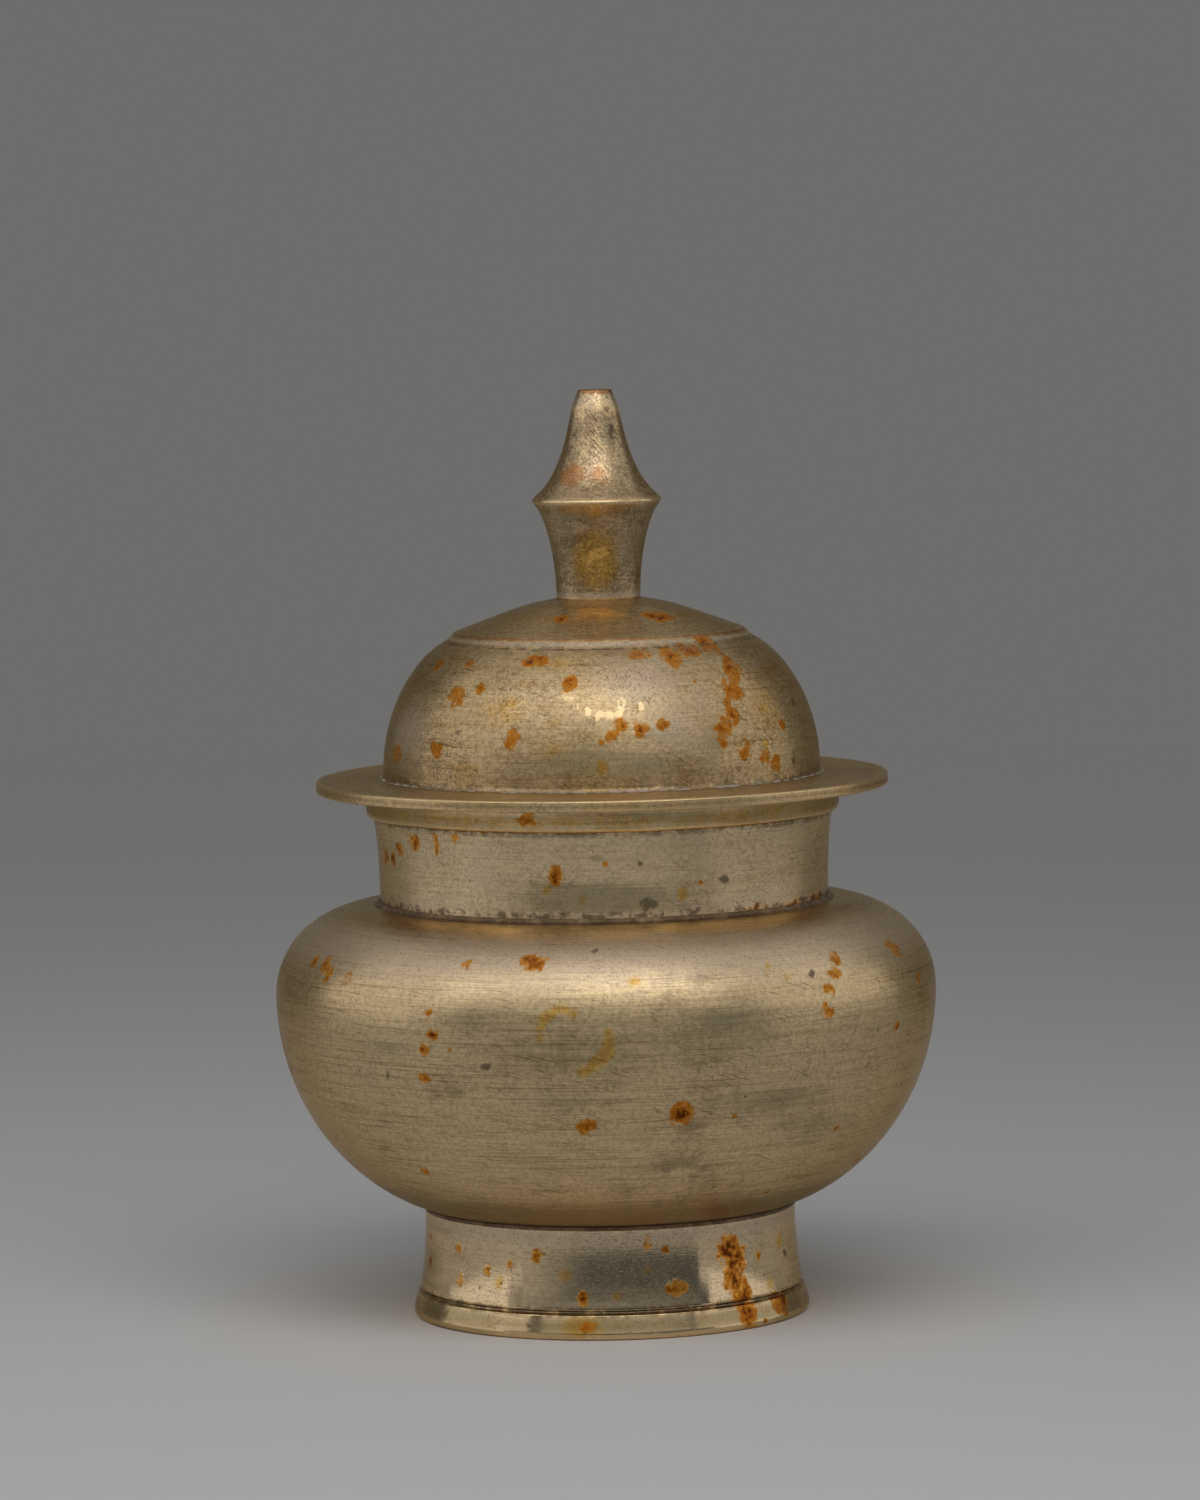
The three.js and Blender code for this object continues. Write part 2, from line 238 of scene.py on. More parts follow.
def make_lathe():
    """Geometry Nodes tree that spins an outline round the upright axis of the pot."""
    tree = bpy.data.node_groups.new("turned_piece", "GeometryNodeTree")
    sockets = tree.interface
    sockets.new_socket("Geometry", in_out="INPUT", socket_type="NodeSocketGeometry")
    sockets.new_socket("Outline", in_out="INPUT", socket_type="NodeSocketObject")
    sockets.new_socket("Facets", in_out="INPUT", socket_type="NodeSocketInt")
    sockets.new_socket("Spindle", in_out="INPUT", socket_type="NodeSocketFloat")
    sockets.new_socket("Finish", in_out="INPUT", socket_type="NodeSocketMaterial")
    sockets.new_socket("Geometry", in_out="OUTPUT", socket_type="NodeSocketGeometry")
    add = tree.nodes.new
    link = tree.links.new
    given = add("NodeGroupInput")
    outline = add("GeometryNodeObjectInfo")
    profile = add("GeometryNodeMeshToCurve")
    circle = add("GeometryNodeCurvePrimitiveCircle")
    spin = add("GeometryNodeCurveToMesh")
    poles = add("GeometryNodeMergeByDistance")
    outward = add("GeometryNodeFlipFaces")
    smooth = add("GeometryNodeSetShadeSmooth")
    whole = add("GeometryNodeRealizeInstances")
    finish = add("GeometryNodeSetMaterial")
    result = add("NodeGroupOutput")
    outline.transform_space = "ORIGINAL"
    poles.inputs["Distance"].default_value = POLE_MERGE * MM
    link(given.outputs["Outline"], outline.inputs["Object"])
    link(outline.outputs["Geometry"], profile.inputs["Mesh"])
    link(given.outputs["Facets"], circle.inputs["Resolution"])
    link(given.outputs["Spindle"], circle.inputs["Radius"])
    link(circle.outputs["Curve"], spin.inputs["Curve"])
    link(profile.outputs["Curve"], spin.inputs["Profile Curve"])
    link(spin.outputs["Mesh"], poles.inputs["Geometry"])
    link(poles.outputs["Geometry"], outward.inputs["Mesh"])
    link(outward.outputs["Mesh"], smooth.inputs["Geometry"])
    link(smooth.outputs["Geometry"], whole.inputs["Geometry"])
    link(whole.outputs["Geometry"], finish.inputs["Geometry"])
    link(given.outputs["Finish"], finish.inputs["Material"])
    link(finish.outputs["Geometry"], result.inputs["Geometry"])
    return tree


lathe = make_lathe()


def put_attribute(mesh, name, values):
    """Stores one number for each point of a mesh."""
    layer = mesh.attributes.new(name, "FLOAT", "POINT")
    layer.data.foreach_set("value", np.asarray(values, np.float32))


def turn_piece(name, node, body, finish, facets, step, heart, marks=()):
    """Turns the fine version of one CAD node on the lathe, marks its stains and hangs it on its body."""
    outline, closed = cad_outline(node)
    if body == "lid":
        outline = round_crown(outline)
    places, along = soft_outline(outline, closed, step, heart)
    wear, corner_dirt_and_painted_shade = edge_marks(places, along, closed)
    steps = np.roll(places, -1, axis=0) - np.roll(places, 1, axis=0)
    outward = np.stack([steps[:, 1], -steps[:, 0]], axis=1)
    inside = ((np.array(heart) - places) * outward).sum(1) > 0 if heart else np.zeros(len(places), bool)
    count = len(places)
    rail = bpy.data.meshes.new(name + "_outline")
    corners = [((r - SPINDLE) * MM, -z * MM, 0.0) for r, z in places]
    last = count if closed else count - 1
    rail.from_pydata(corners, [(i, (i + 1) % count) for i in range(last)], [])
    put_attribute(rail, "along", along)
    put_attribute(rail, "wear", wear)
    put_attribute(rail, "corner_dirt_and_painted_shade", corner_dirt_and_painted_shade)
    put_attribute(rail, "inside", inside)
    holder = bpy.data.objects.new(name + "_outline", rail)
    blank = bpy.data.objects.new(name + "_blank", bpy.data.meshes.new(name + "_blank"))
    for helper in (holder, blank):
        bpy.context.scene.collection.objects.link(helper)
    turning = blank.modifiers.new("turned_piece", "NODES")
    turning.node_group = lathe
    given = {"Outline": holder, "Facets": facets, "Spindle": SPINDLE * MM, "Finish": finish}
    for item in lathe.interface.items_tree:
        if item.in_out == "INPUT" and item.name in given:
            turning[item.identifier] = given[item.name]
    bpy.context.view_layer.update()
    shaped = blank.evaluated_get(bpy.context.evaluated_depsgraph_get())
    mesh = bpy.data.meshes.new_from_object(shaped)
    mesh.name = name
    for helper in (blank, holder):
        bpy.data.objects.remove(helper)
    piece = bpy.data.objects.new(name, mesh)
    bpy.context.scene.collection.objects.link(piece)
    stain_piece(mesh, places, along, inside, marks)
    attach(piece, body)
    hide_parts(node)
    return piece


def stain_piece(mesh, places, along, inside, marks):
    """Writes the stain fields of one piece: for each kind, a cone of depth round every mark of it."""
    count = len(mesh.vertices)
    spots = np.empty(count * 3, np.float32)
    mesh.vertices.foreach_get("co", spots)
    spots = spots.reshape(-1, 3).astype(float) / MM
    run = np.empty(count, np.float32)
    mesh.attributes["along"].data.foreach_get("value", run)
    turn = np.arctan2(spots[:, 0], -spots[:, 1])
    radius = np.hypot(spots[:, 0], spots[:, 1])
    for kind in STAIN_KINDS:
        field = np.zeros(count)
        for degrees, height, across, down, depth, *ring in marks.get(kind, ()):
            off = np.abs(places[:, 1] - height)
            if ring:
                off = np.hypot(off, places[:, 0] - ring[0])
            nearest = np.where(inside, 1e9, off).argmin()
            sweep = (turn - math.radians(degrees) + math.pi) % (2 * math.pi) - math.pi
            tall = down if across == ALL_ROUND else max(down, SMALLEST_MARK)
            wide = sweep * radius / max(across, SMALLEST_MARK)
            gap = np.hypot(wide, (run - along[nearest]) / tall)
            field = np.maximum(field, depth * np.clip(1 - gap, 0, 1))
        put_attribute(mesh, kind, field)


# Stains: degrees to the right of the front, height, half width and half height in mm, depth with 1 as full,
# and on a flat face the radius in mm. The main ones are listed and the small ones strewn.
# Some marks below are painted shade, highlight and reflection, as said where they stand.
STAIN_KINDS = ("rust", "ochre", "soot_and_painted_shade", "bloom_and_painted_highlight", "olive_and_painted_shade", "bare_and_painted_glint", "copper", "filed", "chalk_and_painted_highlight")
SMALLEST_MARK = 0.8
ALL_ROUND = 999.0

# Heights in mm that several stains share, and the radii of the belly and of the brim's face
BELLY_RADIUS = 45.0
TOE = 1.9
NECK_SEAM = 58.2
LIP = 71.0
BRIM = 74.4
BRIM_RADIUS = 33.0

# Stretches of the pot in degrees, and what the strewn spots are drawn from
BEHIND = (78.0, 282.0)
IN_FRONT = (-75.0, 75.0)
CRESCENT_SPOTS = 7
CRESCENT_ENDS = 0.65
ROW_STRAY_DEGREES = 1.5
ROW_STRAY_HEIGHT = 0.5
ROW_SIZES = (0.75, 1.25)
ROW_DEPTHS = (0.85, 1.15)
STREWN_KINDS = ["rust", "rust", "rust", "ochre", "soot_and_painted_shade"]
STREWN_SIZES = (0.8, 1.2)
STREWN_TALL = (0.7, 1.5)
STREWN_DEPTHS = (0.4, 1.15)
LARGEST_SOOT = 1.1
FLAKES = 9
FLAKE_DEGREES = (-7.0, 12.0)
FLAKE_HEIGHTS = (84.5, 87.0)
FLAKE_WIDE = 0.8
FLAKE_TALL = (0.8, 1.2)
FLAKE_DEPTHS = (0.6, 0.8)


def crescent(degrees, height, reach, first, last, wide, depth):
    """Overlapping spots on the belly, along an arc with the given reach in mm and first and last angle."""
    spots = []
    for share in np.linspace(0.0, 1.0, CRESCENT_SPOTS):
        angle = math.radians(first + (last - first) * share)
        across = degrees + math.degrees(reach * math.cos(angle) / BELLY_RADIUS)
        strong = depth * (CRESCENT_ENDS + (1.0 - CRESCENT_ENDS) * math.sin(math.pi * share))
        spots.append((across, height + reach * math.sin(angle), wide, wide, strong))
    return spots


def row(first, last, count, size, depth, squat=1.0):
    """Spots in a loose row from one pair of degrees and height to another."""
    spots = []
    for share in np.linspace(0.0, 1.0, count):
        degrees = first[0] + (last[0] - first[0]) * share
        degrees += random_rows.uniform(-ROW_STRAY_DEGREES, ROW_STRAY_DEGREES)
        height = first[1] + (last[1] - first[1]) * share
        height += random_rows.uniform(-ROW_STRAY_HEIGHT, ROW_STRAY_HEIGHT)
        across, down = size * random_rows.uniform(*ROW_SIZES, 2)
        spots.append((degrees, height, across, squat * down, depth * random_rows.uniform(*ROW_DEPTHS)))
    return spots


lid_marks = {
    "rust": [
        (36, 97, 3.0, 2.2, 1.2), (-22, 97, 1.6, 1.6, 0.9), (-22, 92, 2.4, 1.5, 1.0),
        (-9, 89, 1.2, 1.7, 1.1), (-46, 87, 2.2, 2.8, 0.6), (-24, 82, 1.6, 1.8, 0.9),
        *row((14, 92.5), (42, 93), 4, 2.4, 0.75),
        *row((44, 90), (35, 82), 4, 2.2, 0.8), *row((42, 80), (52, 77), 3, 2.0, 0.6),
        *row((2, 82.5), (16, 84), 4, 1.5, 0.9), *row((-50, 80), (-68, 78), 2, 2.0, 0.6),
    ],
    "ochre": [
        (-14, 91.5, 9.0, 2.4, 0.4), (-30, 85.5, 8.0, 4.0, 0.36), (-12, 80.5, 6.0, 3.5, 0.36),
        (52, 85, 7.0, 6.0, 0.36), (110, 86, 12.0, 5.0, 0.36), (190, 82, 12.0, 4.0, 0.36),
        (0, 97, ALL_ROUND, 3.4, 0.28),
    ],
    "bare_and_painted_glint": [(-9, 87.5, 1.2, 1.5, 0.5), (-1, 97.5, 5.5, 3.4, 0.65)],
    "olive_and_painted_shade": [
        (0, BRIM, ALL_ROUND, 6.0, 0.9, BRIM_RADIUS), (10, 78.5, 9.5, 4.0, 0.8), (31, 81.5, 4.0, 7.5, 0.7),
        (-3, 84, 6.0, 2.6, 0.6), (16, 82, 5.5, 3.6, 0.6), (-6, 79.5, 9.0, 4.0, 1.0),
    ],
    "bloom_and_painted_highlight": [
        (12, 89.5, 10.0, 6.0, 0.8), (29, 86.5, 8.0, 6.0, 0.4), (20, 83.5, 8.0, 6.0, 0.6),
        (-66, 82, 9.0, 8.0, 0.8), (-105, 84, 8.0, 7.0, 0.5), (170, 85, 9.0, 6.0, 0.6),
        (0, 94, ALL_ROUND, 0.6, 0.8),
    ],
    # The pale line round the dome's foot is partly chalky residue and partly a painted highlight on its
    # fillet.
    "chalk_and_painted_highlight": [(0, 74.75, ALL_ROUND, 0.45, 0.55)],
    "copper": [(0, 94.55, ALL_ROUND, 0.5, 0.8)],
    "soot_and_painted_shade": [(0, BRIM, ALL_ROUND, 5.5, 0.4, BRIM_RADIUS), (0, 93.3, ALL_ROUND, 0.3, 0.6)],
}
neck_marks = {
    "rust": [
        (-18, 71.5, 2.0, 1.3, 0.9), (-12, 63.5, 1.3, 1.7, 1.2), *row((-45, 68), (-72, 65), 4, 1.6, 0.55),
        *row((43, 58), (70, 58), 3, 4.5, 0.6, 0.25),
    ],
    "ochre": [
        *row((-13, 62), (-6, 60.5), 2, 1.3, 0.65), (0, LIP, ALL_ROUND, 2.4, 0.4),
    ],
    "soot_and_painted_shade": [
        # The thin dark ring at 69.45 mm is partly dirt and partly painted shade under the lip.
        (11, 59.5, 1.8, 1.4, 1.1), (0, 57.1, ALL_ROUND, 1.0, 0.6), (0, 69.45, ALL_ROUND, 0.45, 0.8),
        (0, 58, ALL_ROUND, 1.2, 0.42),
        *((degrees, NECK_SEAM, 4.5, 1.0, 0.55) for degrees in range(-55, 70, 13)),
    ],
    "olive_and_painted_shade": [
        # The wide greenish patch at -3 degrees low on the neck is partly tarnish and partly a painted
        # reflection of the room's dark front; the greenish rings and patches round the lip are partly
        # tarnish and partly painted shade under the brim.
        (-2, 66, 2.5, 0.9, 0.6), (-3, 60.5, 17.5, 4.0, 1.25), (0, LIP, ALL_ROUND, 2.6, 0.7),
        (-60, LIP, 16.0, 3.6, 1.5), (42, LIP, 9.0, 3.4, 1.3), (62, LIP, 18.0, 3.6, 1.6),
        (150, LIP, 20.0, 3.4, 0.9),
    ],
    "bloom_and_painted_highlight": [
        (40, 59, 14.0, 2.2, 0.9), (-50, 59, 16.0, 2.2, 0.7), (-33, 64.5, 3.5, 5.0, 0.6),
        (0, NECK_SEAM, ALL_ROUND, 1.4, 0.5),
    ],
}
bowl_marks = {
    "rust": [
        (-13, 53.5, 2.7, 2.1, 0.9), (65, 52, 3.4, 2.0, 0.6), (-4, 31.5, 1.5, 1.7, 1.1),
        (13, 32.5, 2.0, 2.3, 1.25),
        *row((-66, 51.5), (-52, 50), 4, 1.7, 0.6), *row((-30, 47), (-33, 38), 4, 1.1, 0.9),
        *row((45, 52.5), (40, 45), 4, 1.5, 0.65),
    ],
    "ochre": [
        (5, 51, 1.4, 1.0, 0.8), *crescent(-7.5, 44.3, 2.9, 190.0, 60.0, 1.1, 0.9),
        *crescent(-5.5, 43.6, 4.6, 5.0, -75.0, 1.3, 1.2),
    ],
    "soot_and_painted_shade": [(-21, 39.5, 1.0, 0.6, 1.0), (52, 37, 0.9, 1.0, 0.7), (-2, 54.5, 0.8, 0.6, 0.8)],
    "olive_and_painted_shade": [
        # The first two greenish patches, below the shoulder's highlight, are painted reflection: dark bands
        # where the room's dark front shows in the metal.
        (19, 45.5, 9.0, 3.0, 0.8), (-23, 46, 6.0, 2.4, 0.7), (-40, 41.5, 8.0, 4.5, 0.55),
        (-8, 35, 12.0, 4.0, 0.35), (30, 34, 16.0, 4.6, 0.7), (40, 29, 15.0, 5.0, 0.65),
        (-14, 26, 12.0, 5.0, 0.4), (12, 25, 10.0, 5.0, 0.45), (150, 36, 12.0, 6.0, 0.7),
        # The last greenish mark, a ring low on the bowl, is painted shade: it makes the bowl darker towards
        # the foot.
        (215, 30, 11.0, 7.0, 0.7), (-100, 34, 9.0, 6.0, 0.5), (0, 17, ALL_ROUND, 7.5, 1.3),
    ],
    # This pale haze ring is also a painted highlight: it whitens the metal where the shoulder's highlight
    # falls.
    "bloom_and_painted_highlight": [(0, 54, ALL_ROUND, 7.5, 0.95)],
}
foot_marks = {
    "rust": [
        *row((38, 11.5), (43, 2.5), 5, 2.4, 1.05), (59, 2.5, 3.4, 2.6, 0.95), (20, 6.5, 2.1, 1.4, 1.0),
        *row((-51, 7.5), (-24, 11), 4, 1.2, 0.7), (-6, 2, 2.2, 1.1, 0.6),
    ],
    "ochre": [
        (-14, 9, 1.8, 1.6, 0.6), *row((57, 6), (65, 11), 2, 1.6, 0.65), (-9, 2, 5.0, 2.0, 0.9),
        (0, TOE, ALL_ROUND, 2.4, 0.24),
    ],
    "soot_and_painted_shade": [
        (-24, 2, 1.0, 0.7, 0.8), (-65, 11, 1.6, 1.4, 0.6), (-60, TOE, 18.0, 2.4, 0.26),
        # The thin dark ring at 15 mm is partly dirt and partly painted shade under the bowl.
        (62, TOE, 18.0, 2.4, 0.26), (0, 3.75, ALL_ROUND, 0.4, 0.75), (0, 15, ALL_ROUND, 0.5, 0.6),
    ],
    "bloom_and_painted_highlight": [(0, 13.6, ALL_ROUND, 2.0, 0.8), (-5, 4.8, 20.0, 0.8, 0.5)],
    "olive_and_painted_shade": [
        (-12, 6.5, 3.0, 2.2, 0.5), (-74, 8, 9.0, 7.0, 0.8), (76, 8, 9.0, 7.0, 0.6),
        (160, 7, 12.0, 6.0, 0.6), (0, TOE, ALL_ROUND, 2.6, 0.9), (-60, TOE, 18.0, 3.4, 2.0),
        (17, TOE, 5.0, 2.2, 1.4), (66, TOE, 16.0, 3.4, 1.6),
    ],
}
finial_marks = {
    "copper": [(-34, 116, 2.8, 2.8, 1.1), (4, 116, 2.4, 2.4, 0.6), (0, 127.5, ALL_ROUND, 0.7, 0.7)],
    "bare_and_painted_glint": [
        # The worn spot at 4 degrees is a painted glint on the right coppery spot, and the streak at -8
        # degrees is a painted highlight down the spire.
        (4, 116, 1.0, 1.2, 0.7), (0, 125.5, ALL_ROUND, 2.6, 0.6), (-8, 123, 1.4, 4.0, 0.6),
        (-2, 104.5, 4.0, 6.0, 0.34),
    ],
    "ochre": [(-2, 104.5, 4.7, 6.2, 1.0), (-2, 111, 1.8, 1.7, 0.5)],
    "olive_and_painted_shade": [
        # The greenish marks at 31 and -52 degrees are painted shade and reflection: a dark streak right of
        # the spire's front and a darker left side.
        (-35, 110, 3.0, 4.3, 0.8), (31, 122, 2.0, 4.0, 1.0), (-44, 117.5, 3.0, 5.0, 1.0),
        (50, 117, 3.0, 5.0, 0.7), (-52, 122, 2.2, 4.5, 0.9), (0, 111, ALL_ROUND, 2.5, 0.5),
    ],
    "soot_and_painted_shade": [
        # The tall dark marks at 31, -50 and 62 degrees are painted shade and reflection: a dark streak
        # right of the spire's front and darker sides.
        (30, 125, 0.8, 0.8, 0.5), (31, 121.5, 1.3, 4.2, 0.5), (-50, 119.5, 1.8, 6.0, 0.42),
        (62, 118, 2.0, 5.0, 0.36),
    ],
    "filed": [
        (-4, 121.5, 2.4, 6.5, 1.0), (20, 116, 2.5, 3.0, 0.6), (150, 119, 3.0, 6.0, 0.8),
        (0, 113.8, ALL_ROUND, 1.2, 0.6),
    ],
    # The pale ring at 99.6 mm, at the finial's foot, is partly residue and partly a painted highlight.
    "bloom_and_painted_highlight": [(0, 99.6, ALL_ROUND, 0.7, 0.9), (0, 125.8, ALL_ROUND, 2.4, 0.7)],
}


def scatter(marks, count, low, high, largest, stretch):
    """Strews rust spots, and a few ochre and dark ones, over a stretch and between two heights."""
    for _ in range(count):
        degrees = random_marks.uniform(*stretch)
        height = random_marks.uniform(low, high)
        across = random_marks.uniform(*STREWN_SIZES) * (1.0 + (largest - 1.0) * random_marks.random() ** 3)
        down = across * random_marks.uniform(*STREWN_TALL)
        depth = random_marks.uniform(*STREWN_DEPTHS)
        kind = random_marks.choice(STREWN_KINDS)
        if kind == "soot_and_painted_shade":
            across = min(across, LARGEST_SOOT)
            down = min(down, LARGEST_SOOT)
        marks.setdefault(str(kind), []).append((degrees, height, across, down, depth))


scatter(lid_marks, 46, 76.5, 98.5, 3.2, BEHIND)
scatter(neck_marks, 20, 58.5, 72.5, 2.6, BEHIND)
scatter(bowl_marks, 46, 17.5, 55.5, 3.0, BEHIND)
scatter(foot_marks, 26, 1.0, 14.0, 3.0, BEHIND)
scatter(finial_marks, 8, 101.0, 125.0, 2.0, BEHIND)
scatter(lid_marks, 14, 77.0, 92.0, 1.0, IN_FRONT)
scatter(neck_marks, 6, 59.0, 72.0, 1.0, IN_FRONT)
scatter(bowl_marks, 12, 20.0, 54.0, 0.9, IN_FRONT)
scatter(foot_marks, 12, 5.0, 13.0, 0.9, IN_FRONT)
for _ in range(FLAKES):
    flake_place = (random_marks.uniform(*FLAKE_DEGREES), random_marks.uniform(*FLAKE_HEIGHTS))
    flake_form = (FLAKE_WIDE, random_marks.uniform(*FLAKE_TALL), random_marks.uniform(*FLAKE_DEPTHS))
    lid_marks["bare_and_painted_glint"].append((*flake_place, *flake_form))


# Tearing of a stain's edge: the middle of its grain, and the depth of the stain at which it is full
GRAIN_MIDDLE = 0.5
TORN_EDGE = 0.3


class Finish:
    """A material in the making: each method adds a node and gives its output."""

    def __init__(self, name):
        self.material = bpy.data.materials.new(name)
        self.material.use_nodes = True
        self.tree = self.material.node_tree
        self.tree.nodes.clear()

    def add(self, kind, sockets, **settings):
        node = self.tree.nodes.new(kind)
        for key, value in settings.items():
            setattr(node, key, value)
        for key, value in sockets.items():
            socket = node.inputs[key]
            if isinstance(value, bpy.types.NodeSocket):
                self.tree.links.new(value, socket)
            else:
                socket.default_value = value
        return node

    def place(self):
        return self.add("ShaderNodeTexCoord", {}).outputs["Object"]

    def mark(self, name):
        return self.add("ShaderNodeAttribute", {}, attribute_name=name).outputs["Fac"]

    def math(self, operation, a, b=0.0):
        return self.add("ShaderNodeMath", {0: a, 1: b}, operation=operation).outputs[0]

    def total(self, *parts):
        """Sum of (value, weight) pairs."""
        result = None
        for value, weight in parts:
            part = self.math("MULTIPLY", value, weight)
            result = part if result is None else self.math("ADD", result, part)
        return result

    def ease(self, value, low, high, to_low=0.0, to_high=1.0):
        sockets = {"Value": value, "From Min": low, "From Max": high, "To Min": to_low, "To Max": to_high}
        return self.add("ShaderNodeMapRange", sockets, interpolation_type="SMOOTHSTEP").outputs["Result"]

    def noise(self, vector, scale, detail=2.0, rough=0.5, bend=0.0):
        form = {"Scale": scale, "Detail": detail, "Roughness": rough, "Distortion": bend}
        return self.add("ShaderNodeTexNoise", {"Vector": vector, **form}).outputs["Fac"]

    def mix(self, share, a, b, blend="MIX"):
        node = self.add("ShaderNodeMix", {0: share}, data_type="RGBA", blend_type=blend)
        for index, value in ((6, a), (7, b)):
            if isinstance(value, bpy.types.NodeSocket):
                self.tree.links.new(value, node.inputs[index])
            else:
                node.inputs[index].default_value = (*value, 1.0)
        return node.outputs[2]

    def bearing(self, place):
        """Direction from the axis, one long, so that a pattern runs round the pot with no seam."""
        flat = self.add("ShaderNodeVectorMath", {0: place, 1: (1.0, 1.0, 0.0)}, operation="MULTIPLY")
        sockets = {0: flat.outputs[0]}
        return self.add("ShaderNodeVectorMath", sockets, operation="NORMALIZE").outputs[0]

    def lathe_lines(self, bearing, along, round_scale, pitch, detail=2.0, rough=0.55):
        """Noise drawn out into lines round the pot, as long as round_scale and as close as pitch set."""
        swept = self.add("ShaderNodeVectorMath", {0: bearing, "Scale": round_scale}, operation="SCALE")
        rise = self.add("ShaderNodeCombineXYZ", {"Z": self.math("MULTIPLY", along, pitch)})
        sockets = {0: swept.outputs[0], 1: rise.outputs[0]}
        spot = self.add("ShaderNodeVectorMath", sockets, operation="ADD").outputs[0]
        return self.noise(spot, 1.0, detail, rough)

    def ragged(self, kind, grain, rag):
        """Field of one kind of mark with its edge torn by a grain, and nothing where there is no mark."""
        field = self.mark(kind)
        torn = self.ease(field, 0.0, TORN_EDGE, 0.0, rag)
        tear = self.math("MULTIPLY", self.math("SUBTRACT", grain, GRAIN_MIDDLE), torn)
        return self.math("ADD", field, tear)

    def specks(self, place, scale, size, share):
        """Small round specks strewn over a share of the cells of a cell pattern."""
        cells = self.add("ShaderNodeTexVoronoi", {"Vector": place, "Scale": scale})
        red = self.add("ShaderNodeSeparateColor", {"Color": cells.outputs["Color"]}).outputs["Red"]
        chosen = self.math("LESS_THAN", red, share)
        return self.math("MULTIPLY", chosen, self.ease(cells.outputs["Distance"], size, size * 0.5))

    def close(self, skin):
        self.add("ShaderNodeOutputMaterial", {"Surface": skin.outputs["BSDF"]})
        return self.material


# Stains that tint the metal under them
RUST_TINT = (1.02, 0.6, 0.17)
OCHRE_TINT = (1.02, 0.78, 0.3)

# Stains and films that cover it; some of the dark and pale films are in part painted shade, highlight and
# reflection
RUST_ORANGE = (0.51, 0.182, 0.014)
RUST_BROWN = (0.4, 0.12, 0.01)
RUST_CORE = (0.13, 0.034, 0.006)
COPPER = (0.34, 0.138, 0.05)
SOOT_AND_PAINTED_SHADE = (0.12, 0.086, 0.054)
OLIVE_AND_PAINTED_SHADE = (0.275, 0.232, 0.135)
BLOOM_AND_PAINTED_HIGHLIGHT = (0.65, 0.525, 0.41)
BARE_GOLD_AND_PAINTED_GLINT = (0.82, 0.6, 0.32)
CHALK_AND_PAINTED_HIGHLIGHT = (0.56, 0.5, 0.43)
DUST = (0.5, 0.45, 0.38)
GRAZING_TINT = (0.8, 0.69, 0.52, 1.0)

# Dirt and light in the lines, scratches, pits and file cuts of the metal, and dirt with painted shade in
# its corners
LINE_SHADE = (0.56, 0.48, 0.4)
HAIR_SHADE = (0.62, 0.56, 0.49)
HAIR_GLEAM = (1.22, 1.2, 1.16)
SCRATCH_SHADE = (0.5, 0.44, 0.37)
MOTTLE_SHADE = (0.42, 0.37, 0.3)
PIT_DIRT = (0.16, 0.12, 0.08)
# Dark of the corners: dirt, and painted shade
CORNER_DIRT_AND_PAINTED_SHADE = (0.17, 0.12, 0.07)
FILE_CUT = (0.15, 0.105, 0.065)
SOLDER_DARK = (0.15, 0.095, 0.05)
SOLDER_PALE = (0.33, 0.225, 0.13)
SOLDER_DIRT = (0.08, 0.05, 0.027)

# Sizes of the patterns, as cells per metre
WIDE_SCALE = 36.0
PATCH_SCALE = 150.0
RAG_SCALE = 620.0
CLOT_SCALE = 880.0
GRAIN_SCALE = 1700.0
PIT_SCALE = 3300.0
RUST_SPECK_SCALE = 240.0
SOOT_SPECK_SCALE = 330.0
CRUST_SCALE = 260.0
CRUST_PIT_SCALE = 1500.0

# Depth of the relief of each pattern in mm, and how much more or less matt each film is
RELIEF_LINES = 0.005
RELIEF_HAIRS = 0.002
RELIEF_GRAIN = 0.005
RELIEF_PITS = -0.01
RELIEF_SCRATCH = -0.004
RELIEF_CUTS = -0.02
RELIEF_RUST = 0.02
RELIEF_CRUST = 0.05
RELIEF_CRUST_PITS = -0.03
MATT_RUST = 0.16
MATT_SOOT_AND_PAINTED_SHADE = 0.15
MATT_BLOOM_AND_PAINTED_HIGHLIGHT = 0.1
MATT_CHALK_AND_PAINTED_HIGHLIGHT = 0.2
MATT_OLIVE_AND_PAINTED_SHADE = 0.05
MATT_OCHRE = 0.05
MATT_INSIDE = 0.06
MATT_BARE_AND_PAINTED_GLINT = -0.06
MATT_GRAIN = 0.1
MATT_SCRATCH = 0.06


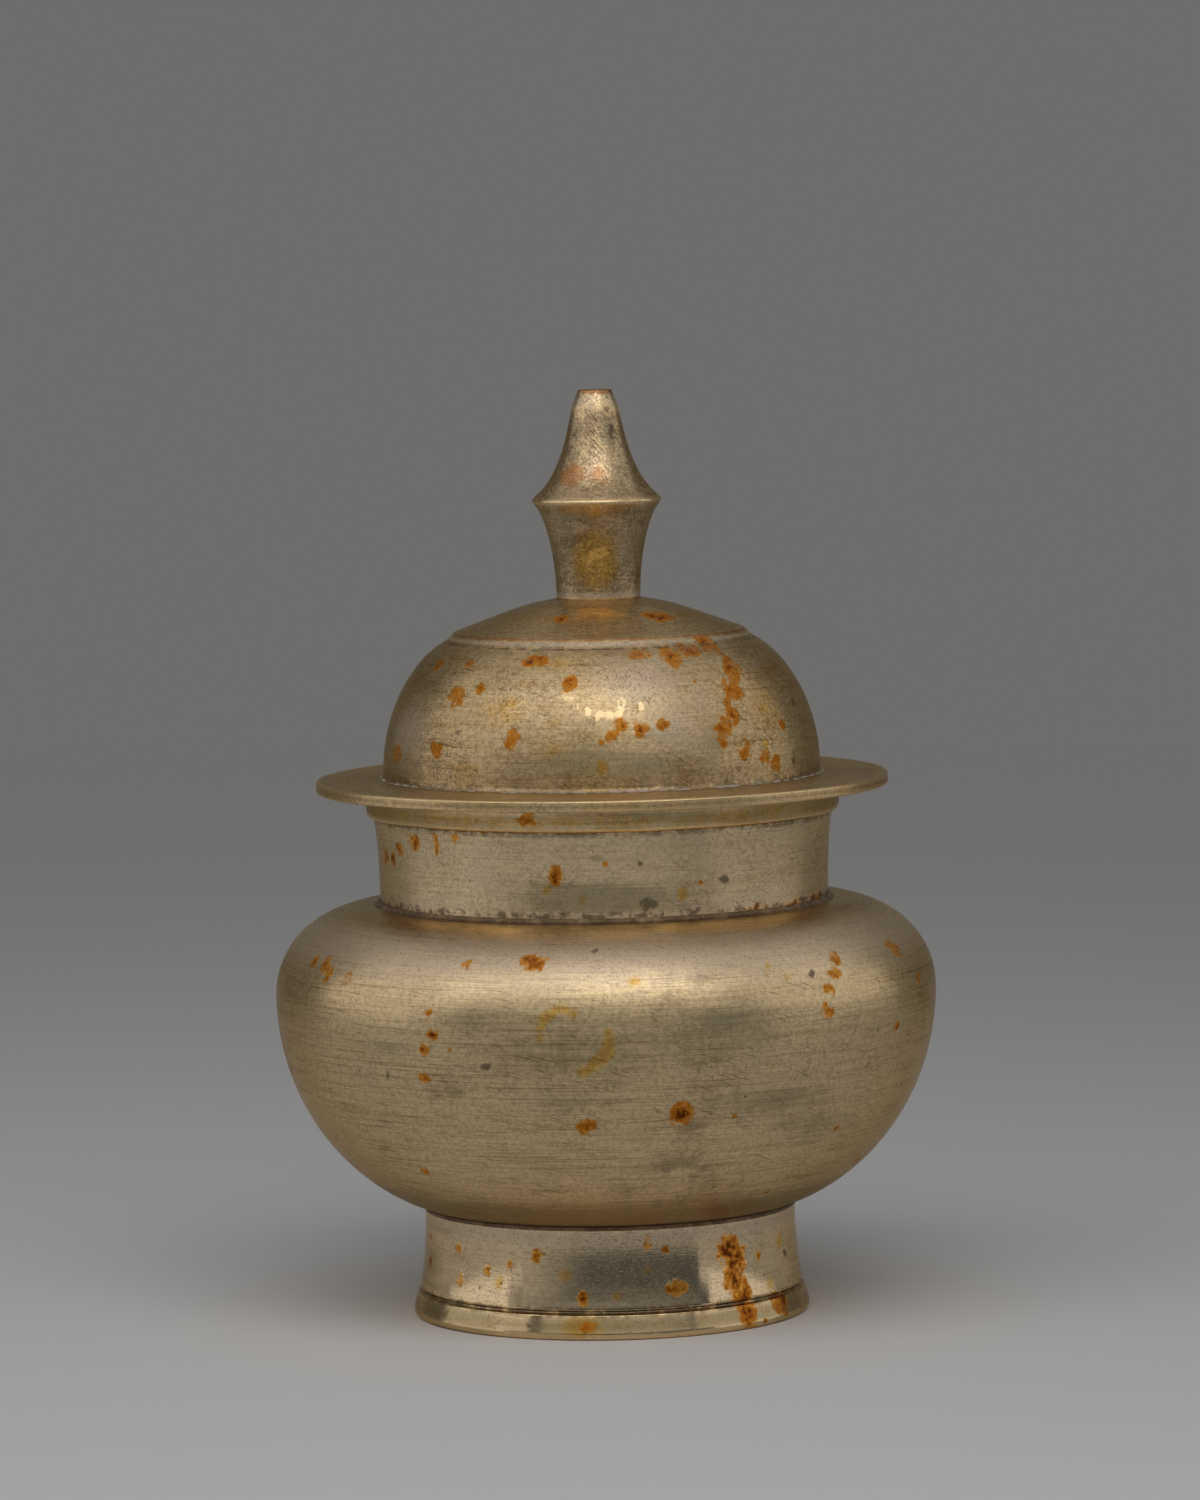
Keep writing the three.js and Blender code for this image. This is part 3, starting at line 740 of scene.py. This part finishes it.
class Patterns:
    """Noise patterns of one brass, which its stages share."""

    def __init__(self, f):
        place = f.place()
        bearing = f.bearing(place)
        along = f.mark("along")
        split = f.add("ShaderNodeSeparateXYZ", {0: bearing})
        aslant = f.total((along, 1.0), (split.outputs["X"], 5.0))
        athwart = f.total((along, 1.0), (split.outputs["X"], 15.0), (split.outputs["Y"], 11.0))
        self.place = place
        self.wide = f.noise(place, WIDE_SCALE, 3.0, 0.55, 0.6)
        self.patch = f.noise(place, PATCH_SCALE, 5.0, 0.62, 0.4)
        self.rag = f.ease(f.noise(place, RAG_SCALE, 4.0, 0.62, 0.4), 0.3, 0.7)
        self.grain = f.noise(place, GRAIN_SCALE, 4.0, 0.75)
        self.clots = f.ease(f.noise(place, CLOT_SCALE, 2.0, 0.6, 0.8), 0.34, 0.66)
        self.pit_grain = f.noise(place, PIT_SCALE, 1.0, 0.5)
        self.bands = f.lathe_lines(bearing, along, 1.5, 0.7, 3.0)
        self.lines = f.lathe_lines(bearing, along, 2.4, 4.6, 3.0, 0.6)
        self.hairs = f.lathe_lines(bearing, along, 4.2, 10.0, 2.0)
        self.strokes = f.lathe_lines(bearing, aslant, 2.6, 2.4, 2.0)
        self.scuffs = f.lathe_lines(bearing, athwart, 9.0, 4.0, 2.0)


def tarnished(f, p, clean, dull, warm, warm_share, tarnish):
    """Colour of the metal with soft patches of tarnish, and where it is dulled."""
    dulled = f.total((p.patch, 0.4), (p.wide, 0.46), (p.bands, 0.24), (p.rag, 0.08))
    dulled = f.ease(dulled, 0.74 - 0.26 * tarnish, 0.9 - 0.26 * tarnish)
    colour = f.mix(dulled, clean, dull)
    warmth = f.total((p.wide, -0.6), (p.bands, 0.3), (p.patch, 0.35))
    warmth = f.ease(warmth, 0.16 - 0.3 * warm_share, 0.32 - 0.3 * warm_share)
    return f.mix(warmth, colour, warm), dulled


def scored(f, p, colour, lines_deep, mottle):
    """Colour with turning lines, scratches and a mottle on it, and where the scratches are."""
    line_share = f.ease(f.total((p.bands, 0.5), (p.wide, 0.5)), 0.36, 0.62, 0.6 * lines_deep, lines_deep)
    dark_lines = f.math("MULTIPLY", f.ease(p.lines, 0.55, 0.7), line_share)
    colour = f.mix(dark_lines, colour, LINE_SHADE, "MULTIPLY")
    fine_lines = f.math("MULTIPLY", f.ease(p.hairs, 0.54, 0.68), line_share)
    colour = f.mix(fine_lines, colour, HAIR_SHADE, "MULTIPLY")
    light_lines = f.math("MULTIPLY", f.ease(p.hairs, 0.44, 0.3), line_share)
    colour = f.mix(light_lines, colour, HAIR_GLEAM, "MULTIPLY")
    scratch = f.math("MULTIPLY", f.ease(p.scuffs, 0.6, 0.68), f.ease(p.patch, 0.4, 0.6, 0.1, mottle + 0.3))
    colour = f.mix(scratch, colour, SCRATCH_SHADE, "MULTIPLY")
    speckle = f.ease(p.grain, 0.36, 0.6, mottle, 0.0)
    return f.mix(speckle, colour, MOTTLE_SHADE, "MULTIPLY"), scratch


def filmed(f, p, colour, pits_deep):
    """Colour under greenish and pale films, some of them painted shade, reflection and highlight, and with
    dirt in its pits, and where films and pits are.
    """
    streaky = f.total((p.bands, 0.7), (p.lines, 0.45), (p.patch, 0.15), (p.rag, 0.05))
    olive_and_painted_shade = f.ease(f.ragged("olive_and_painted_shade", f.math("SUBTRACT", streaky, 0.175), 1.5), 0.1, 0.85)
    colour = f.mix(f.math("MULTIPLY", olive_and_painted_shade, 0.68), colour, OLIVE_AND_PAINTED_SHADE)
    bloom_and_painted_highlight = f.ease(f.ragged("bloom_and_painted_highlight", f.total((p.patch, 0.7), (p.rag, 0.3)), 0.6), 0.05, 0.8)
    colour = f.mix(f.math("MULTIPLY", bloom_and_painted_highlight, 0.5), colour, BLOOM_AND_PAINTED_HIGHLIGHT)
    pitted = f.math("MAXIMUM", f.ease(p.patch, 0.36, 0.6, 0.15, 1.0), bloom_and_painted_highlight)
    pits = f.math("MULTIPLY", f.ease(p.pit_grain, 0.58, 0.67), pitted)
    return f.mix(f.math("MULTIPLY", pits, pits_deep), colour, PIT_DIRT), olive_and_painted_shade, bloom_and_painted_highlight, pits


def worn(f, p, colour, glint):
    """Colour with worn-through metal at worn edges, a few spots of it painted glints and highlights, and
    corners darkened by dirt and painted shade, and where the metal shows through.
    """
    edges = f.math("MULTIPLY", f.mark("wear"), f.ease(f.total((p.grain, 0.6), (p.bands, 0.4)), 0.3, 0.5))
    bare_and_painted_glint = f.math("MAXIMUM", edges, f.ease(f.ragged("bare_and_painted_glint", p.rag, 1.2), 0.25, 0.5))
    bare_and_painted_glint = f.math("MAXIMUM", bare_and_painted_glint, f.math("MULTIPLY", f.ease(p.pit_grain, 0.38, 0.3), glint))
    colour = f.mix(f.math("MULTIPLY", bare_and_painted_glint, 0.7), colour, BARE_GOLD_AND_PAINTED_GLINT)
    # Concave corners are darkened all round, partly by dirt and partly by painted shade where less light
    # reaches.
    dirt_and_painted_shade = f.ease(f.math("MULTIPLY", f.mark("corner_dirt_and_painted_shade"), f.math("ADD", p.rag, 0.35)), 0.3, 0.9)
    return f.mix(f.math("MULTIPLY", dirt_and_painted_shade, 0.6), colour, CORNER_DIRT_AND_PAINTED_SHADE), bare_and_painted_glint


def rusted(f, p, colour):
    """Colour with ochre, rust and dark sooty spots on it, some of the dark ones painted shade, and where
    each of them is.
    """
    ochre = f.ease(f.ragged("ochre", f.total((p.patch, 0.5), (p.rag, 0.5)), 0.4), 0.06, 0.55, 0.0, 0.9)
    colour = f.mix(ochre, colour, OCHRE_TINT, "MULTIPLY")
    rust_field = f.ragged("rust", p.rag, 0.62)
    specks = f.math("MULTIPLY", f.specks(p.place, RUST_SPECK_SCALE, 0.13, 0.1), 0.5)
    rust_field = f.math("MAXIMUM", rust_field, specks)
    rust = f.ease(rust_field, 0.08, 0.34)
    colour = f.mix(rust, colour, RUST_TINT, "MULTIPLY")
    rust_tone = f.total((rust_field, 1.0), (p.grain, 0.4), (p.clots, 0.5))
    colour = f.mix(f.ease(rust_tone, 0.66, 1.02, 0.0, 0.7), colour, RUST_ORANGE)
    colour = f.mix(f.ease(rust_tone, 0.86, 1.18, 0.0, 0.9), colour, RUST_BROWN)
    colour = f.mix(f.ease(rust_tone, 1.16, 1.5), colour, RUST_CORE)
    soot_and_painted_shade = f.ease(f.ragged("soot_and_painted_shade", p.rag, 0.7), 0.2, 0.65)
    specks = f.math("MULTIPLY", f.specks(p.place, SOOT_SPECK_SCALE, 0.1, 0.08), 0.8)
    soot_and_painted_shade = f.math("MAXIMUM", soot_and_painted_shade, specks)
    return f.mix(f.math("MULTIPLY", soot_and_painted_shade, 0.8), colour, SOOT_AND_PAINTED_SHADE), ochre, rust, soot_and_painted_shade


def filed(f, p, colour):
    """Colour with coppery patches, cuts of a file and their bright burrs, and where the cuts are."""
    copper = f.ease(f.ragged("copper", f.total((p.rag, 0.6), (p.grain, 0.5)), 0.9), 0.1, 0.7, 0.0, 0.8)
    colour = f.mix(copper, colour, COPPER)
    field = f.mark("filed")
    cuts = f.math("MULTIPLY", f.ease(p.strokes, 0.54, 0.63), field)
    colour = f.mix(f.math("MULTIPLY", cuts, 0.85), colour, FILE_CUT)
    burrs = f.math("MULTIPLY", f.ease(p.strokes, 0.45, 0.36), field)
    return f.mix(f.math("MULTIPLY", burrs, 0.65), colour, BARE_GOLD_AND_PAINTED_GLINT), cuts


def dusted(f, p, colour, dust):
    """Colour under a chalky film, which in part is a painted highlight, and, where it faces up, lint, and
    where both are.
    """
    chalk_and_painted_highlight = f.ease(f.ragged("chalk_and_painted_highlight", p.rag, 0.8), 0.2, 0.7, 0.0, 0.8)
    colour = f.mix(chalk_and_painted_highlight, colour, CHALK_AND_PAINTED_HIGHLIGHT)
    facing = f.add("ShaderNodeNewGeometry", {}).outputs["Normal"]
    upward = f.ease(f.add("ShaderNodeSeparateXYZ", {0: facing}).outputs["Z"], 0.55, 0.95, 0.0, dust)
    lint = f.math("MULTIPLY", upward, f.ease(f.total((p.pit_grain, 0.7), (p.patch, 0.4)), 0.6, 0.68))
    return f.mix(lint, colour, DUST), chalk_and_painted_highlight, lint


def brass(
    name, clean, dull, warm, warm_share, tarnish, lines_deep, mottle,
    glint, pits_deep, dust, tooth, rough, brushed
):
    """Tarnished brass: patches of tarnish, turning lines, scratches, pits, worn edges, haze and stains,
    some of them painted shade, highlight and reflection.
    """
    f = Finish(name)
    p = Patterns(f)
    colour, dulled = tarnished(f, p, clean, dull, warm, warm_share, tarnish)
    colour, scratch = scored(f, p, colour, lines_deep, mottle)
    colour, olive_and_painted_shade, bloom_and_painted_highlight, pits = filmed(f, p, colour, pits_deep)
    colour, bare_and_painted_glint = worn(f, p, colour, glint)
    colour, ochre, rust, soot_and_painted_shade = rusted(f, p, colour)
    colour, cuts = filed(f, p, colour)
    colour, chalk_and_painted_highlight, lint = dusted(f, p, colour, dust)

    cover = f.math("MAXIMUM", f.math("MAXIMUM", chalk_and_painted_highlight, lint), f.total((bloom_and_painted_highlight, 0.25), (rust, 0.1)))
    metal = f.math("SUBTRACT", 1.0, f.math("MINIMUM", cover, 0.8))
    matt = f.ease(dulled, 0.0, 1.0, rough - 0.09, rough)
    stains = f.total((rust, MATT_RUST), (soot_and_painted_shade, MATT_SOOT_AND_PAINTED_SHADE), (olive_and_painted_shade, MATT_OLIVE_AND_PAINTED_SHADE), (ochre, MATT_OCHRE))
    films = f.total((bloom_and_painted_highlight, MATT_BLOOM_AND_PAINTED_HIGHLIGHT), (chalk_and_painted_highlight, MATT_CHALK_AND_PAINTED_HIGHLIGHT))
    surface = f.total((bare_and_painted_glint, MATT_BARE_AND_PAINTED_GLINT), (p.grain, MATT_GRAIN), (scratch, MATT_SCRATCH))
    inside = f.math("MULTIPLY", f.mark("inside"), MATT_INSIDE)
    matt = f.total((matt, 1.0), (stains, 1.0), (films, 1.0), (surface, 1.0), (inside, 1.0))

    turned = f.total((p.lines, RELIEF_LINES), (p.hairs, RELIEF_HAIRS), (scratch, RELIEF_SCRATCH))
    eaten = f.total((p.grain, RELIEF_GRAIN), (pits, RELIEF_PITS))
    height = f.total((turned, tooth), (eaten, tooth), (cuts, RELIEF_CUTS))
    height = f.math("ADD", height, f.math("MULTIPLY", rust, f.math("MULTIPLY", p.rag, RELIEF_RUST)))
    bump = f.add("ShaderNodeBump", {"Height": height, "Distance": MM, "Strength": 1.0})
    tangent = f.add("ShaderNodeTangent", {}, direction_type="RADIAL", axis="Z")
    sockets = {
        "Base Color": colour,
        "Metallic": metal,
        "Roughness": matt,
        "Specular Tint": GRAZING_TINT,
        "Anisotropic": brushed,
        "Anisotropic Rotation": 0.25,
        "Normal": bump.outputs["Normal"],
        "Tangent": tangent.outputs["Tangent"],
    }
    return f.close(f.add("ShaderNodeBsdfPrincipled", sockets))


def solder(name):
    """Dull crusted solder: brown, with pinkish grey patches and dark dirt in its pits."""
    f = Finish(name)
    place = f.place()
    crust = f.noise(place, CRUST_SCALE, 5.0, 0.7, 0.6)
    pits = f.noise(place, CRUST_PIT_SCALE, 3.0, 0.6)
    colour = f.mix(f.ease(crust, 0.4, 0.66), SOLDER_DARK, SOLDER_PALE)
    colour = f.mix(f.ease(pits, 0.5, 0.62, 0.0, 0.6), colour, SOLDER_DIRT)
    matt = f.ease(crust, 0.3, 0.7, 0.5, 0.62)
    height = f.total((crust, RELIEF_CRUST), (pits, RELIEF_CRUST_PITS))
    bump = f.add("ShaderNodeBump", {"Height": height, "Distance": MM, "Strength": 1.0})
    sockets = {"Base Color": colour, "Metallic": 0.8, "Roughness": matt, "Normal": bump.outputs["Normal"]}
    return f.close(f.add("ShaderNodeBsdfPrincipled", sockets))


bowl_brass = brass(
    "bowl_brass", clean=(0.72, 0.555, 0.325), dull=(0.48, 0.365, 0.205),
    warm=(0.56, 0.38, 0.18), warm_share=0.2, tarnish=0.5, lines_deep=1.0, mottle=0.42,
    glint=0.0, pits_deep=0.35, dust=0.1, tooth=1.0, rough=0.34, brushed=0.6)
neck_brass = brass(
    "neck_brass", clean=(0.85, 0.66, 0.41), dull=(0.65, 0.49, 0.28),
    warm=(0.58, 0.38, 0.18), warm_share=0.25, tarnish=0.5, lines_deep=0.6, mottle=0.35,
    glint=0.1, pits_deep=0.5, dust=0.2, tooth=1.2, rough=0.3, brushed=0.6)
foot_brass = brass(
    "foot_brass", clean=(0.84, 0.65, 0.405), dull=(0.64, 0.49, 0.285),
    warm=(0.6, 0.41, 0.2), warm_share=0.2, tarnish=0.4, lines_deep=0.45, mottle=0.3,
    glint=0.1, pits_deep=0.5, dust=0.1, tooth=0.5, rough=0.14, brushed=0.1)
lid_brass = brass(
    "lid_brass", clean=(0.58, 0.43, 0.24), dull=(0.38, 0.285, 0.16),
    warm=(0.5, 0.32, 0.12), warm_share=0.5, tarnish=0.5, lines_deep=0.75, mottle=0.6,
    glint=0.2, pits_deep=0.6, dust=0.3, tooth=1.5, rough=0.38, brushed=0.5)
finial_brass = brass(
    "finial_brass", clean=(0.56, 0.42, 0.25), dull=(0.27, 0.195, 0.11),
    warm=(0.48, 0.29, 0.13), warm_share=0.35, tarnish=0.55, lines_deep=0.5, mottle=0.55,
    glint=0.7, pits_deep=0.6, dust=0.1, tooth=4.0, rough=0.27, brushed=0.3)
solder_crust = solder("solder_crust")

# Facets round a piece, and hearts: points on the axis, as (radius, height) in mm, that inner faces look at
MANY_FACETS = 384
SEAM_FACETS = 360
SOME_FACETS = 240
FEW_FACETS = 120
BOWL_HEART = (0.0, 45.0)
NECK_HEART = (0.0, 65.0)
FOOT_HEART = (0.0, 7.0)
LID_HEART = (0.0, 78.0)
BEZEL_HEART = (0.0, 71.0)
NO_HEART = None

turn_piece(
    "bowl_turned", "bowl", "pot", bowl_brass,
    MANY_FACETS, 0.7, BOWL_HEART, bowl_marks)
turn_piece(
    "neck_collar_turned", "neck_collar", "pot", neck_brass,
    MANY_FACETS, 0.45, NECK_HEART, neck_marks)
turn_piece(
    "foot_ring_turned", "foot_ring", "pot", foot_brass,
    MANY_FACETS, 0.4, FOOT_HEART, foot_marks)
turn_piece(
    "lid_shell_turned", "lid_shell", "lid", lid_brass,
    MANY_FACETS, 0.55, LID_HEART, lid_marks)
turn_piece(
    "lid_bezel_turned", "lid_bezel", "lid", lid_brass,
    SOME_FACETS, 0.6, BEZEL_HEART, {})
turn_piece(
    "finial_turned", "finial", "lid", finial_brass,
    SOME_FACETS, 0.35, NO_HEART, finial_marks)
turn_piece(
    "finial_washer_turned", "finial_washer", "lid", finial_brass,
    FEW_FACETS, 0.4, NO_HEART, {})
for part in ("foot", "neck"):
    turn_piece(
        part + "_solder_seam", part + "_solder_fillet", "pot", solder_crust,
        SEAM_FACETS, 0.2, NO_HEART, {})

# Floor, room and lamps
ROOM_GREY = (0.155, 0.153, 0.149)
CEILING_GREY = (0.6, 0.6, 0.6)
FLOOR_GREY = (0.95, 0.95, 0.957)
FLOOR_RADIUS = 6.0
FLOOR_SIDES = 128
CEILING_LEVELS = (0.42, 1.0)
ROOM_FILL = 0.28
FLOOR_SHAPE = (1.7, 1.0, 1.0)
FLOOR_LIT = (-0.22, -0.35, 0.0)
FLOOR_NEAR = 0.3
FLOOR_FAR = 1.35


def floor_paint():
    """Pale matt floor that fades with distance from a point left of the pot into a glowing grey of the
    room. The glow stands for the backdrop; the fade, off centre so that the floor darkens to the right, is
    a painted falloff of light.
    """
    f = Finish("studio_floor")
    shrunk = f.add("ShaderNodeVectorMath", {0: f.place(), 1: FLOOR_SHAPE}, operation="MULTIPLY")
    sockets = {0: shrunk.outputs[0], 1: FLOOR_LIT}
    away = f.add("ShaderNodeVectorMath", sockets, operation="DISTANCE").outputs["Value"]
    far = f.ease(away, FLOOR_NEAR, FLOOR_FAR)
    matt = f.add("ShaderNodeBsdfDiffuse", {"Color": (*FLOOR_GREY, 1.0)})
    glow = f.add("ShaderNodeEmission", {"Color": (*ROOM_GREY, 1.0)})
    sockets = {0: far, 1: matt.outputs[0], 2: glow.outputs[0]}
    both = f.add("ShaderNodeMixShader", sockets)
    f.add("ShaderNodeOutputMaterial", {"Surface": both.outputs[0]})
    return f.material


disc = bmesh.new()
bmesh.ops.create_circle(disc, cap_ends=True, segments=FLOOR_SIDES, radius=FLOOR_RADIUS)
floor_mesh = bpy.data.meshes.new("studio_floor")
disc.to_mesh(floor_mesh)
disc.free()
floor_mesh.materials.append(floor_paint())
floor = bpy.data.objects.new("studio_floor", floor_mesh)
bpy.context.scene.collection.objects.link(floor)

room = bpy.data.worlds.new("room")
room.use_nodes = True
add = room.node_tree.nodes.new
link = room.node_tree.links.new
direction = add("ShaderNodeTexCoord")
upward = add("ShaderNodeSeparateXYZ")
rise = add("ShaderNodeMapRange")
rise.interpolation_type = "SMOOTHSTEP"
rise.inputs["From Min"].default_value = CEILING_LEVELS[0]
rise.inputs["From Max"].default_value = CEILING_LEVELS[1]
shade = add("ShaderNodeMix")
shade.data_type = "RGBA"
shade.inputs[6].default_value = (*ROOM_GREY, 1.0)
shade.inputs[7].default_value = (*CEILING_GREY, 1.0)
link(direction.outputs["Generated"], upward.inputs[0])
link(upward.outputs["Z"], rise.inputs["Value"])
link(rise.outputs["Result"], shade.inputs[0])
link(shade.outputs[2], room.node_tree.nodes["Background"].inputs["Color"])
seen = add("ShaderNodeLightPath")
mirrored = add("ShaderNodeMath")
mirrored.operation = "MAXIMUM"
strength = add("ShaderNodeMapRange")
strength.inputs["To Min"].default_value = ROOM_FILL
link(seen.outputs["Is Camera Ray"], mirrored.inputs[0])
link(seen.outputs["Is Glossy Ray"], mirrored.inputs[1])
link(mirrored.outputs[0], strength.inputs["Value"])
link(strength.outputs["Result"], room.node_tree.nodes["Background"].inputs["Strength"])
room.cycles.sampling_method = "NONE"
bpy.context.scene.world = room


def soft_box(name, place, aim, width, height, glow, on_floor=True):
    """Rectangular lamp at a place, facing an aim point, with the given brightness of its face."""
    lamp = bpy.data.lights.new(name, "AREA")
    lamp.shape = "RECTANGLE"
    lamp.size = width
    lamp.size_y = height
    lamp.energy = glow * math.pi * width * height
    holder = bpy.data.objects.new(name, lamp)
    holder.location = place
    facing = np.array(aim) - np.array(place)
    across = math.atan2(facing[0], -facing[1])
    tilt = math.atan2(math.hypot(facing[0], facing[1]), -facing[2])
    holder.rotation_euler = (tilt, 0.0, across + math.pi)
    holder.visible_camera = False
    holder.visible_diffuse = on_floor
    bpy.context.scene.collection.objects.link(holder)


def dark_card(name, away, left, right, low, high, soft_left, soft_low, soft_high):
    """Dark card bent in an arc before the pot, soft at its edges, for the metal alone to mirror. It is a
    painted reflection: a sheet glowing dark grey, paler at its edges, standing for the room's dark front;
    the near one stands low over floor that the camera sees pale.
    """
    f = Finish(name)
    spot = f.add("ShaderNodeSeparateXYZ", {0: f.place()})
    turn = f.math("ARCTAN2", spot.outputs["X"], f.math("MULTIPLY", spot.outputs["Y"], -1.0))
    pale = f.ease(turn, math.radians(left + soft_left), math.radians(left))
    pale = f.math("MAXIMUM", pale, f.ease(spot.outputs["Z"], high - soft_high, high))
    if soft_low:
        pale = f.math("MAXIMUM", pale, f.ease(spot.outputs["Z"], low + soft_low, low))
    glow = f.add("ShaderNodeEmission", {"Color": f.mix(pale, CARD_GREY, CARD_EDGE)})
    f.add("ShaderNodeOutputMaterial", {"Surface": glow.outputs[0]})
    corners = []
    for turned in np.radians(np.linspace(left, right, CARD_PANELS + 1)):
        for level in (low, high):
            corners.append((away * math.sin(turned), -away * math.cos(turned), level))
    mesh = bpy.data.meshes.new(name)
    mesh.from_pydata(corners, [], [(2 * k, 2 * k + 2, 2 * k + 3, 2 * k + 1) for k in range(CARD_PANELS)])
    mesh.materials.append(f.material)
    card = bpy.data.objects.new(name, mesh)
    card.visible_camera = False
    card.visible_diffuse = False
    card.visible_shadow = False
    bpy.context.scene.collection.objects.link(card)


CARD_GREY = (0.068, 0.08, 0.088)
CARD_EDGE = (0.33, 0.33, 0.33)
CARD_PANELS = 48
dark_card(
    "near_card", away=0.17, left=-52.0, right=51.0, low=0.001, high=0.021,
    soft_left=45.0, soft_low=0.0, soft_high=0.004)
dark_card(
    "far_card", away=0.72, left=-64.0, right=60.0, low=0.02, high=0.14,
    soft_left=16.0, soft_low=0.03, soft_high=0.05)

soft_box("front_lamp", (-0.08, -0.6, 0.82), (0.0, 0.0, 0.05), 1.7, 0.6, 0.96)
soft_box("key_lamp", (0.12, -0.62, 0.8), (0.0, 0.0, 0.05), 0.6, 0.42, 0.75)
soft_box("fill_lamp", (0.05, -0.82, 0.36), (0.05, 0.0, 0.1), 1.6, 0.44, 0.36)
soft_box("left_lamp", (-0.9, -0.175, 0.55), (0.0, -0.175, 0.55), 1.15, 1.1, 0.55, on_floor=False)
soft_box("right_lamp", (0.9, -0.15, 0.55), (0.0, -0.15, 0.55), 1.2, 1.1, 0.5, on_floor=False)

eye = bpy.data.cameras.new("camera")
eye.lens = CAMERA_LENS
camera = bpy.data.objects.new("camera", eye)
camera.location = (CAMERA_ASIDE, -CAMERA_BACK, CAMERA_HEIGHT)
camera.rotation_mode = "ZYX"
camera.rotation_euler = (math.radians(90.0 - CAMERA_PITCH), 0.0, -math.radians(CAMERA_ROLL))
bpy.context.scene.collection.objects.link(camera)
bpy.context.scene.camera = camera
bpy.context.scene.view_settings.view_transform = "Standard"
